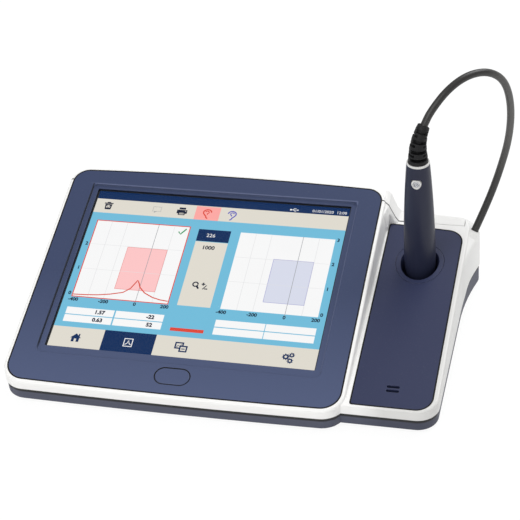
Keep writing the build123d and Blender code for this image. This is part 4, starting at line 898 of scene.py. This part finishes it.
slottedBoot = makeBoot(bootSet)
print("boot made:", len(slottedBoot.data.polygons), "faces")

# white surround of the probe's key, and the mark on the key, in mm and degrees
surroundSet = {
    "x": 103.65,
    "z": 100.5,
    "radius": 3.05,
    "bulge": 0.065,
    "lobes": 3,
    "lobeAt": 270.0,
    "bore": 2.05,
    "steps": 96,
    "profile": [  # share of the bore's or the edge's radius, and how far behind the front
        ("bore", 1.0, 4.6), ("bore", 1.0, 0.35), ("bore", 1.05, 0.1), ("bore", 1.14, 0.0),
        ("edge", 0.86, 0.0), ("edge", 0.95, 0.08), ("edge", 0.99, 0.25), ("edge", 1.0, 0.5),
        ("edge", 1.0, 4.6),
    ],
    "sharp": 40.0,
    "markRadius": 1.12,
    "markWidth": 0.34,
    "markRise": 0.04,
    "markFrom": -60.0,
    "markSweep": 300.0,
    "markSteps": 40,
    "dotRadius": 0.3,
    "dotSteps": 20,
}


def makeSurround(s):
    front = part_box("key_collar")[0][1] / mm
    work = bmesh.new()
    grid = []
    for kind, share, back in s["profile"]:
        ring = []
        for turn in turnsOf(s["steps"]):
            lobe = math.cos(s["lobes"] * (turn - math.radians(s["lobeAt"])))
            edge = s["radius"] * (1 + s["bulge"] * lobe)
            radius = (s["bore"] if kind == "bore" else edge) * share
            x, z = s["x"] + radius * math.cos(turn), s["z"] + radius * math.sin(turn)
            ring.append(work.verts.new(Vector((x, front + back, z)) * mm))
        grid.append(ring)
    for low, high in zip(grid, grid[1:] + grid[:1]):
        bridge(work, low, high)
    mesh = closeMesh(work, "keySurround")
    surround = addToScene("keySurround", mesh, [finishes["white_shell"]])
    mesh.shade_smooth()
    mesh.set_sharp_from_angle(angle=math.radians(s["sharp"]))
    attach(surround, "probe")
    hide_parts("key_collar")


# a plain ring with a gap and a dot, pressed into the key
def makeKeyMark(s):
    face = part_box("probe_key")[0][1] / mm
    work = bmesh.new()
    inner, outer = s["markRadius"] - s["markWidth"] / 2, s["markRadius"] + s["markWidth"] / 2

    def slab(outline):
        layers = []
        for rise in (-s["markRise"], s["markRise"]):
            spots = [
                (s["x"] + radius * math.cos(turn), face + rise, s["z"] + radius * math.sin(turn))
                for radius, turn in outline
            ]
            layers.append([work.verts.new(Vector(spot) * mm) for spot in spots])
        low, high = layers
        work.faces.new(low)
        work.faces.new(high[::-1])
        bridge(work, low, high)

    steps = range(s["markSteps"] + 1)
    turns = [math.radians(s["markFrom"] + s["markSweep"] * i / s["markSteps"]) for i in steps]
    for a, b in zip(turns, turns[1:]):
        slab([(inner, a), (outer, a), (outer, b), (inner, b)])
    slab([(s["dotRadius"], turn) for turn in turnsOf(s["dotSteps"])])
    mark = addToScene("keyMark", closeMesh(work, "keyMark"), [finishes["black_plastic"]])
    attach(mark, "probe_key")


makeSurround(surroundSet)
makeKeyMark(surroundSet)
print("key surround made")

# painted shade: near-black strips laid in the gaps round the bezel, the side panel and the front key,
# standing in for the shade in those gaps

# in mm and degrees: near and far run outwards from a piece's edge, top and deep down from its face
shadeStripSet = {
    "bezel": dict(tilt=15.0, near=-0.42, far=0.48, top=-0.03, deep=1.6),
    "side_panel": dict(tilt=10.0, near=-0.42, far=0.48, top=-0.03, deep=1.4),
    "front_key": dict(tilt=15.0, near=0.04, far=0.6, top=0.02, deep=0.8),
}
faceDepth = 0.7  # how far under its face a piece's outline is taken
leastLean = 0.3  # keeps a sharp corner from running far out


# the outer outline of a flat piece, in the plane of its face
def outlineOf(node, tilt):
    turn = Matrix.Rotation(-tilt, 4, "X")
    spots = [turn @ (nodes[node].matrix_world @ v.co) for v in nodes[node].data.vertices]
    top = max(p.z for p in spots)
    flat = sorted({(round(p.x, 6), round(p.y, 6)) for p in spots if p.z > top - faceDepth * mm})

    def bendsIn(a, b, c):
        return (b[0] - a[0]) * (c[1] - a[1]) <= (b[1] - a[1]) * (c[0] - a[0])

    # one side of the outline, without the points that lie inside it
    def half(points):
        chain = []
        for point in points:
            while len(chain) > 1 and bendsIn(chain[-2], chain[-1], point):
                chain.pop()
            chain.append(point)
        return chain[:-1]

    return half(flat) + half(flat[::-1]), top


# the outline, moved outwards by the amount
def grown(loop, amount):
    out = []
    for i, point in enumerate(loop):
        a, p, b = Vector(loop[i - 1]), Vector(point), Vector(loop[(i + 1) % len(loop)])
        first, second = (p - a).normalized(), (b - p).normalized()
        side = Vector((first.y + second.y, -first.x - second.x)).normalized()
        lean = max(leastLean, side.dot(Vector((first.y, -first.x))))
        out.append(p + side * amount / lean)
    return out


def makeShadeStrip(node, s):
    tilt = math.radians(s["tilt"])
    loop, top = outlineOf(node, tilt)
    high, low = top - s["top"] * mm, top - (s["top"] + s["deep"]) * mm
    inner, outer = grown(loop, s["near"] * mm), grown(loop, s["far"] * mm)
    rings = [(inner, low), (inner, high), (outer, high), (outer, low)]
    back = Matrix.Rotation(tilt, 4, "X")
    work = bmesh.new()
    grid = [[work.verts.new(back @ Vector((*p, height))) for p in outline] for outline, height in rings]
    for a, b in zip(grid, grid[1:] + grid[:1]):
        bridge(work, a, b)
    name = node[0] + node.title().replace("_", "")[1:] + "ShadeStrip"
    shadeStrip = addToScene(name, closeMesh(work, name), [finishes["shade_strip_rubber"]])
    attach(shadeStrip, "housing")


for stripNode, stripSizes in shadeStripSet.items():
    makeShadeStrip(stripNode, stripSizes)
print("shadeStrips laid")

# the picture on the display, drawn in mm from its top left corner
pictureSet = {
    "width": 170.4,
    "height": 127.8,
    "low": 0.02,  # height of the first layer over the display
    "step": 0.03,  # thickness of a layer
    "digitSteps": 3,
    "cellPitch": 0.266,
    "glowFall": 0.03,
    "glow": 1.0,
    "body": (0.004, 0.004, 0.005),
    "rough": 0.5,
    "shine": 0.03,
    "colours": {
        "navy": (0.0, 0.022, 0.100),
        "ink": (0.003, 0.008, 0.030),
        "sky": (0.171, 0.515, 0.716),
        "beige": (0.760, 0.723, 0.638),
        "white": (0.955, 0.955, 0.955),
        "pink": (1.0, 0.578, 0.578),
        "rose": (1.0, 0.402, 0.376),
        "red": (0.752, 0.061, 0.032),
        "lilac": (0.700, 0.725, 0.845),
        "violet": (0.102, 0.102, 0.515),
        "green": (0.021, 0.319, 0.102),
        "faint": (0.76, 0.76, 0.77),
        "grey": (0.33, 0.34, 0.36),
        "dim": (0.40, 0.40, 0.40),
        "orange": (0.70, 0.07, 0.035),
        "redEdge": (0.80, 0.22, 0.20),
        "violetEdge": (0.33, 0.33, 0.62),
    },
}


def makeDisplayColour(name, colour, s):
    material, tree, shader = newMaterial("display" + name.capitalize())
    cells = useGroup(tree, displayCells, Shade=(*colour, 1), Pitch=s["cellPitch"] * mm, Fall=s["glowFall"])
    link(tree, cells.outputs["Color"], shader.inputs["Emission Color"])
    setValues(shader, Base_Color=(*s["body"], 1), Emission_Strength=s["glow"])
    setValues(shader, Roughness=s["rough"], Specular_IOR_Level=s["shine"])
    return material


# thin coloured shapes, one layer over another
class Picture:
    def __init__(self, s):
        self.s = s
        self.mesh = bmesh.new()
        self.names = list(s["colours"])

    def spot(self, u, v, layer):
        x, y = u - self.s["width"] / 2, self.s["height"] / 2 - v
        return Vector((x, y, self.s["low"] + self.s["step"] * layer)) * mm

    def shape(self, points, colour, layer):
        index = self.names.index(colour)
        low = [self.mesh.verts.new(self.spot(u, v, layer)) for u, v in points]
        high = [self.mesh.verts.new(self.spot(u, v, layer + 1)) for u, v in points]
        faces = [self.mesh.faces.new(high), self.mesh.faces.new(low[::-1])]
        for face in faces + bridge(self.mesh, low, high):
            face.material_index = index

    def box(self, u0, v0, u1, v1, colour, layer):
        self.shape([(u0, v1), (u1, v1), (u1, v0), (u0, v0)], colour, layer)

    def frameBox(self, u0, v0, u1, v1, thick, colour, layer):
        self.box(u0, v0, u1, v0 + thick, colour, layer)
        self.box(u0, v1 - thick, u1, v1, colour, layer)
        self.box(u0, v0 + thick, u0 + thick, v1 - thick, colour, layer)
        self.box(u1 - thick, v0 + thick, u1, v1 - thick, colour, layer)

    def disc(self, u, v, radius, colour, layer, count=28):
        points = [(u + radius * math.cos(a), v - radius * math.sin(a)) for a in turnsOf(count)]
        self.shape(points, colour, layer)

    # a line of the given width through the points, as one closed shape
    def stroke(self, points, width, colour, layer):
        left, right = [], []
        for i, (u, v) in enumerate(points):
            before, after = points[max(i - 1, 0)], points[min(i + 1, len(points) - 1)]
            run = Vector((after[0] - before[0], after[1] - before[1])).normalized() * width / 2
            left.append((u + run.y, v - run.x))
            right.append((u - run.y, v + run.x))
        self.shape(right + left[::-1], colour, layer)

    def arc(self, u, v, radius, start, end, width, colour, layer, count=20):
        turns = [math.radians(start + (end - start) * i / count) for i in range(count + 1)]
        points = [(u + radius * math.cos(a), v - radius * math.sin(a)) for a in turns]
        self.stroke(points, width, colour, layer)

    def dots(self, u0, v0, u1, v1, size, gap, colour, layer):
        length = math.hypot(u1 - u0, v1 - v0)
        count = max(2, round(length / gap))
        for i in range(count + 1):
            u, v = u0 + (u1 - u0) * i / count, v0 + (v1 - v0) * i / count
            self.box(u - size / 2, v - size / 2, u + size / 2, v + size / 2, colour, layer)

    def dotFrame(self, u0, v0, u1, v1, size, gap, colour, layer):
        for v in (v0, v1):
            self.dots(u0, v, u1, v, size, gap, colour, layer)
        for u in (u0, u1):
            self.dots(u, v0 + gap, u, v1 - gap, size, gap, colour, layer)

    # plain numbers, as flat as the other shapes
    def number(self, text, u, v, size, colour, layer, side="CENTER", bold=0.13):
        data = bpy.data.curves.new("number", "FONT")
        data.body = text
        data.size = size * mm
        data.offset = bold * mm
        data.align_x = side
        data.align_y = "CENTER"
        data.resolution_u = self.s["digitSteps"]
        data.extrude = self.s["step"] / 2 * mm
        holder = bpy.data.objects.new("number", data)
        bpy.context.collection.objects.link(holder)
        bpy.context.view_layer.update()
        digits = bpy.data.meshes.new_from_object(holder)
        spot = self.spot(u, v, layer)
        spot.z += self.s["step"] / 2 * mm
        digits.transform(Matrix.Translation(spot))
        before = len(self.mesh.faces)
        self.mesh.from_mesh(digits)
        self.mesh.faces.ensure_lookup_table()
        index = self.names.index(colour)
        for face in self.mesh.faces[before:]:
            face.material_index = index
        bpy.data.objects.remove(holder)
        bpy.data.meshes.remove(digits)

    def finish(self, name):
        colours = [makeDisplayColour(n, c, self.s) for n, c in self.s["colours"].items()]
        return addToScene(name, closeMesh(self.mesh, name), colours)


# main places of the picture
layout = {
    "left": 0.4,
    "right": 170.1,
    "top": 0.0,
    "bottom": 128.2,
    "titleEnd": 6.5,
    "toolEnd": 18.3,
    "footer": 111.8,
    "tile": (75.0, 96.5),
    "graphBottom": 88.0,
    "cellWidth": 31.5,
    "cellRows": ((96.5, 101.8), (102.5, 107.8)),
    "cellText": 25.5,
    "cellTextSize": 3.9,
    "cellTextBold": 0.19,
    "textSize": 3.6,
}


def drawBars(pen):
    left, right, bottom = layout["left"], layout["right"], layout["bottom"]
    pen.box(left, layout["top"], right, bottom, "sky", 0)
    pen.box(left, layout["top"], right, layout["titleEnd"], "navy", 1)
    pen.box(left, layout["titleEnd"], right, layout["toolEnd"], "beige", 1)
    pen.box(left, layout["footer"], right, bottom, "beige", 1)
    pen.number("01/01/2020  12:00", 168.6, 4.2, 3.1, "white", 2, "RIGHT", 0.0)
    # plug sign
    pen.stroke([(131.8, 4.4), (136.4, 4.4)], 0.35, "white", 2)
    pen.shape([(137.0, 4.4), (136.0, 3.8), (136.0, 5.0)], "white", 3)
    pen.disc(131.7, 4.4, 0.65, "white", 3)
    pen.stroke([(132.8, 4.4), (133.9, 3.2), (135.2, 3.2)], 0.3, "white", 3)
    pen.stroke([(133.4, 4.4), (134.5, 5.6), (135.4, 5.6)], 0.3, "white", 3)


# the two ear signs, which mirror each other: their places, and their lines by width
earSet = {
    "height": 12.4,
    "squash": 0.85,
    "places": ((77.3, -1, "red"), (94.0, 1, "violet")),
    "lines": {
        0.85: [
            (-1.0, 5.2), (-0.2, 4.9), (0.3, 4.1), (0.5, 3.0), (1.5, 1.9), (2.5, 0.3),
            (2.6, -1.3), (1.9, -2.7), (0.4, -3.5), (-1.2, -3.3), (-2.4, -2.2), (-2.7, -0.8),
        ],
        0.7: [(1.3, -0.9), (0.9, -1.9), (-0.2, -2.1), (-1.1, -1.2), (-1.0, 0.0), (-0.1, 0.5), (-0.3, 1.6)],
    },
}


def drawToolbar(pen):
    # bin
    pen.shape([(7.4, 15.3), (11.4, 15.3), (11.8, 10.9), (7.0, 10.9)], "ink", 2)
    pen.box(6.3, 9.7, 12.3, 10.6, "ink", 2)
    pen.box(8.2, 9.0, 10.5, 9.7, "ink", 2)
    pen.arc(9.4, 13.1, 1.15, -40, 220, 0.45, "beige", 3)
    pen.shape([(8.5, 13.6), (10.3, 13.6), (9.4, 12.1)], "beige", 3)
    # note bubble
    pen.dotFrame(40.4, 10.2, 45.8, 14.0, 0.5, 0.9, "dim", 2)
    pen.shape([(41.4, 14.0), (41.6, 15.4), (43.2, 14.0)], "dim", 2)
    # printer
    pen.box(56.7, 11.2, 63.6, 14.3, "ink", 2)
    pen.box(58.0, 9.2, 62.3, 10.8, "ink", 2)
    pen.box(57.9, 13.2, 62.4, 15.6, "ink", 3)
    pen.box(58.6, 13.8, 61.7, 14.2, "beige", 4)
    pen.box(58.6, 14.6, 61.7, 15.0, "beige", 4)
    pen.box(62.2, 11.8, 62.8, 12.4, "beige", 4)
    # ear signs, the left one on its tile
    pen.box(69.2, 7.0, 85.7, layout["toolEnd"], "rose", 2)
    for u, side, colour in earSet["places"]:
        for width, points in earSet["lines"].items():
            spots = [(u + side * a, earSet["height"] + b * earSet["squash"]) for a, b in points]
            pen.stroke(spots, width, colour, 3)


# the two graphs: their sides, the shaded box, the grid lines and the numbers with their places
graphSet = {
    "leftGraph": dict(
        left=5.5, right=69.0, top=25.0, box=(31.5, 45.3, 58.4, 79.6), edge="redEdge", fill="pink",
        upright=(15.8, 26.5, 58.5), level=(45.0, 65.3), middle=47.8,
        scaleAt=3.4, scale=(("2", 45), ("1", 65), ("0", 85.7)),
        footAt=90.4, foot=(("-400", 7), ("-200", 27), ("0", 47.7), ("200", 67.3)),
    ),
    "rightGraph": dict(
        left=103.0, right=165.0, top=26.3, box=(128.5, 45.8, 154.8, 80.2), edge="violetEdge", fill="lilac",
        upright=(113.4, 123.7, 154.8), level=(46.5, 66.2), middle=144.3,
        scaleAt=167.0, scale=(("3", 26.8), ("2", 46.5), ("1", 66.2), ("0", 86.3)),
        footAt=90.6, foot=(("-400", 104), ("-200", 123.7), ("0", 144.2), ("200", 164)),
    ),
}

# half widths of the graphs' lines, and how far these stay inside or reach out
gridSet = {"upright": 0.13, "level": 0.1, "middle": 0.17, "inset": 0.6, "reach": 1.2, "boxEdge": 0.28}


def drawGraph(pen, s, grid):
    left, right, top, bottom = s["left"], s["right"], s["top"], layout["graphBottom"]
    pen.box(left, top, right, bottom, "white", 1)
    pen.box(*s["box"], s["fill"], 2)
    pen.frameBox(*s["box"], grid["boxEdge"], s["edge"], 3)
    for u in s["upright"]:
        pen.box(u - grid["upright"], top + grid["inset"], u + grid["upright"], bottom, "faint", 3)
    for v in s["level"]:
        pen.box(left + grid["inset"], v - grid["level"], right - grid["inset"], v + grid["level"], "faint", 3)
    middle, half = s["middle"], grid["middle"]
    pen.box(middle - half, top, middle + half, bottom + grid["reach"], "grey", 4)


def drawScales(pen, s):
    for text, v in s["scale"]:
        pen.number(text, s["scaleAt"], v, layout["textSize"], "ink", 2)
    for text, u in s["foot"]:
        pen.number(text, u, s["footAt"], layout["textSize"], "ink", 2)


# the curve of the left graph, from left to right
curve = [
    (6, 86.6), (14, 86.3), (22, 85.6), (30, 84.2), (38, 82.0), (42, 78.4), (43.8, 74.6),
    (45.2, 71.5), (46.6, 73.8), (48, 77.0), (52, 81.0), (58, 84.0), (63, 85.3), (68.4, 85.9),
]


def drawLeftGraph(pen):
    drawGraph(pen, graphSet["leftGraph"], gridSet)
    pen.frameBox(5.2, 24.7, 69.3, 88.4, 0.65, "red", 5)
    smooth = []
    for a, b in zip(curve, curve[1:]):
        smooth += [(a[0] + (b[0] - a[0]) * t, a[1] + (b[1] - a[1]) * t) for t in (0, 0.5)]
    pen.stroke(smooth + [curve[-1]], 0.75, "orange", 6)
    pen.stroke([(62.0, 29.6), (63.6, 31.6), (66.8, 27.0)], 1.0, "green", 5)
    drawScales(pen, graphSet["leftGraph"])


def drawRightGraph(pen):
    drawGraph(pen, graphSet["rightGraph"], gridSet)
    drawScales(pen, graphSet["rightGraph"])


def drawMiddle(pen):
    left, right = layout["tile"]
    pen.box(left, 26.0, right, 35.8, "navy", 1)
    pen.number("226", 84.0, 30.9, 4.0, "white", 2, "CENTER", 0.0)
    pen.box(left, 36.2, right, layout["graphBottom"], "beige", 1)
    pen.number("1000", 84.5, 41.0, 4.2, "ink", 2)
    # magnifying glass, with plus and minus
    pen.arc(83.0, 70.7, 1.65, 0, 352, 0.9, "ink", 2)
    pen.stroke([(84.0, 72.0), (85.5, 74.0)], 1.2, "ink", 2)
    pen.box(86.9, 69.8, 89.3, 70.6, "ink", 2)
    pen.box(87.7, 69.0, 88.5, 71.4, "ink", 3)
    pen.box(89.3, 73.4, 91.4, 74.2, "ink", 2)
    pen.stroke([(88.2, 74.3), (90.4, 71.0)], 0.6, "ink", 4)
    pen.box(left, 105.3, right, 107.8, "red", 1)


# left edge of each pair of cells, and the numbers in them
cellValues = {5.0: ("1.57", "0.63"), 37.5: ("-22", "52"), 102.3: ("", ""), 134.3: ("", "")}


def drawCells(pen):
    for u, texts in cellValues.items():
        for (v0, v1), text in zip(layout["cellRows"], texts):
            pen.box(u, v0, u + layout["cellWidth"], v1, "white", 1)
            if text:
                size, bold = layout["cellTextSize"], layout["cellTextBold"]
                pen.number(text, u + layout["cellText"], (v0 + v1) / 2, size, "ink", 2, "RIGHT", bold)


# three wheels: their places and radii, and their teeth
wheelSet = {
    "places": ((151.0, 119.3, 1.9), (154.5, 117.8, 1.4), (154.0, 122.0, 1.55)),
    "hub": 0.42,
    "teeth": 8,
    "turn": 12.0,
    "root": -0.2,
    "tip": 0.5,
    "toothWidth": 0.6,
}


def drawWheels(pen, s):
    for u, v, radius in s["places"]:
        pen.disc(u, v, radius, "navy", 2)
        pen.disc(u, v, radius * s["hub"], "beige", 4)
        for turn in turnsOf(s["teeth"]):
            a = turn + math.radians(s["turn"])
            ends = (radius + s["root"], radius + s["tip"])
            tooth = [(u + far * math.cos(a), v - far * math.sin(a)) for far in ends]
            pen.stroke(tooth, s["toothWidth"], "navy", 3)


def drawFooter(pen):
    pen.box(34.5, layout["footer"], 68.0, layout["bottom"], "navy", 2)
    # house
    walls = [(19.5, 119.8), (19.5, 122.7), (14.5, 122.7), (14.5, 119.8)]
    pen.shape([(20.5, 119.8), *walls, (13.5, 119.8), (17.0, 116.4)], "navy", 2)
    pen.box(16.3, 120.4, 17.7, 122.7, "beige", 3)
    pen.box(18.6, 116.6, 19.5, 119.0, "navy", 3)
    # chart sign on the lit tab
    pen.frameBox(48.4, 116.6, 54.2, 122.8, 0.5, "white", 3)
    pen.stroke([(49.4, 121.4), (50.8, 120.2), (51.4, 118.0), (52.0, 120.2), (53.3, 121.4)], 0.5, "white", 4)
    # two windows
    pen.frameBox(81.0, 115.8, 86.6, 120.8, 0.95, "navy", 2)
    pen.stroke([(82.2, 119.4), (83.3, 118.3), (84.2, 118.9), (85.4, 117.4)], 0.5, "navy", 2)
    pen.box(84.2, 118.3, 89.4, 123.1, "beige", 3)
    pen.frameBox(84.2, 118.3, 89.4, 123.1, 0.95, "navy", 4)
    pen.box(85.7, 120.4, 87.9, 121.1, "navy", 4)
    drawWheels(pen, wheelSet)


def makePicture(s):
    pen = Picture(s)
    for draw in (drawBars, drawToolbar, drawLeftGraph, drawRightGraph, drawMiddle, drawCells, drawFooter):
        draw(pen)
    picture = pen.finish("screenPicture")
    picture.data.transform(Matrix.Rotation(math.radians(screenSet["tilt"]), 4, "X"))
    picture.data.transform(Matrix.Translation(Vector(screenSet["middle"]) * mm))
    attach(picture, "housing")
    return picture


screenPicture = makePicture(pictureSet)
print("picture drawn:", len(screenPicture.data.polygons), "faces")

# floor, light and background, in metres
stageSet = {
    "floor": 6.0,
    "floorColour": 0.86,
    "floorRough": 0.9,
    "background": 1.0,
    "floorGlow": 1.06,  # how bright the floor looks to the camera
    "shadowKept": 0.14,  # how much of the shadow the camera sees
    "fill": 0.52,  # how bright the background is as a light
    "aim": (0, 0, 0.04),
}


def makeFloor(s):
    mesh = bpy.data.meshes.new("paleFloor")
    half = s["floor"] / 2
    corners = [(-half, -half, 0), (half, -half, 0), (half, half, 0), (-half, half, 0)]
    mesh.from_pydata(corners, [], [(0, 1, 2, 3)])
    material, tree, shader = newMaterial("paleFloor")
    setValues(shader, Base_Color=(s["floorColour"],) * 3 + (1,), Roughness=s["floorRough"])
    setValues(shader, Specular_IOR_Level=0.0)
    plain = place(tree, "Emission", Color=(1, 1, 1, 1), Strength=s["floorGlow"])
    ray = tree.nodes.new("ShaderNodeLightPath").outputs
    mirrored = mathNode(tree, "MAXIMUM", ray["Is Glossy Ray"], ray["Is Transmission Ray"])
    seen = mathNode(tree, "MAXIMUM", ray["Is Camera Ray"], mirrored)
    mixer = tree.nodes.new("ShaderNodeMixShader")
    link(tree, times(tree, seen, 1 - s["shadowKept"]), mixer.inputs[0])
    link(tree, shader.outputs[0], mixer.inputs[1])
    link(tree, plain.outputs[0], mixer.inputs[2])
    link(tree, mixer.outputs[0], tree.nodes["Material Output"].inputs["Surface"])
    floor = addToScene("paleFloor", mesh, [material])


def makeWorld(s):
    world = bpy.data.worlds.new("studioWorld")
    bpy.context.scene.world = world
    world.use_nodes = True
    tree = world.node_tree
    back = tree.nodes["Background"]
    back.inputs["Color"].default_value = (1, 1, 1, 1)
    ray = tree.nodes.new("ShaderNodeLightPath").outputs
    seen = mathNode(tree, "MAXIMUM", ray["Is Camera Ray"], ray["Is Transmission Ray"])
    link(tree, spread(tree, seen, 0, 1, s["fill"], s["background"]), back.inputs["Strength"])


lamps = {
    "leftSoftbox": dict(place=(-0.45, -0.6, 1.05), size=0.8, power=3.6, colour=(1.0, 0.99, 0.98)),
    "backSoftbox": dict(place=(0.55, 0.8, 1.05), size=0.9, power=10.0, colour=(0.98, 0.99, 1.0)),
    "frontSoftbox": dict(place=(-0.15, -1.15, 0.8), size=0.9, power=5.2, colour=(1.0, 1.0, 1.0)),
}


def makeLamp(name, s, target):
    data = bpy.data.lights.new(name, "AREA")
    data.shape = "SQUARE"
    data.size = s["size"]
    data.energy = s["power"]
    data.color = s["colour"]
    lamp = bpy.data.objects.new(name, data)
    lamp.location = s["place"]
    aim = Vector(target) - lamp.location
    lamp.rotation_euler = aim.to_track_quat("-Z", "Y").to_euler()
    bpy.context.collection.objects.link(lamp)


bpy.context.scene.view_settings.view_transform = "Standard"
makeFloor(stageSet)
makeWorld(stageSet)
for lampName, lampSet in lamps.items():
    makeLamp(lampName, lampSet, stageSet["aim"])
print("floor and light set")
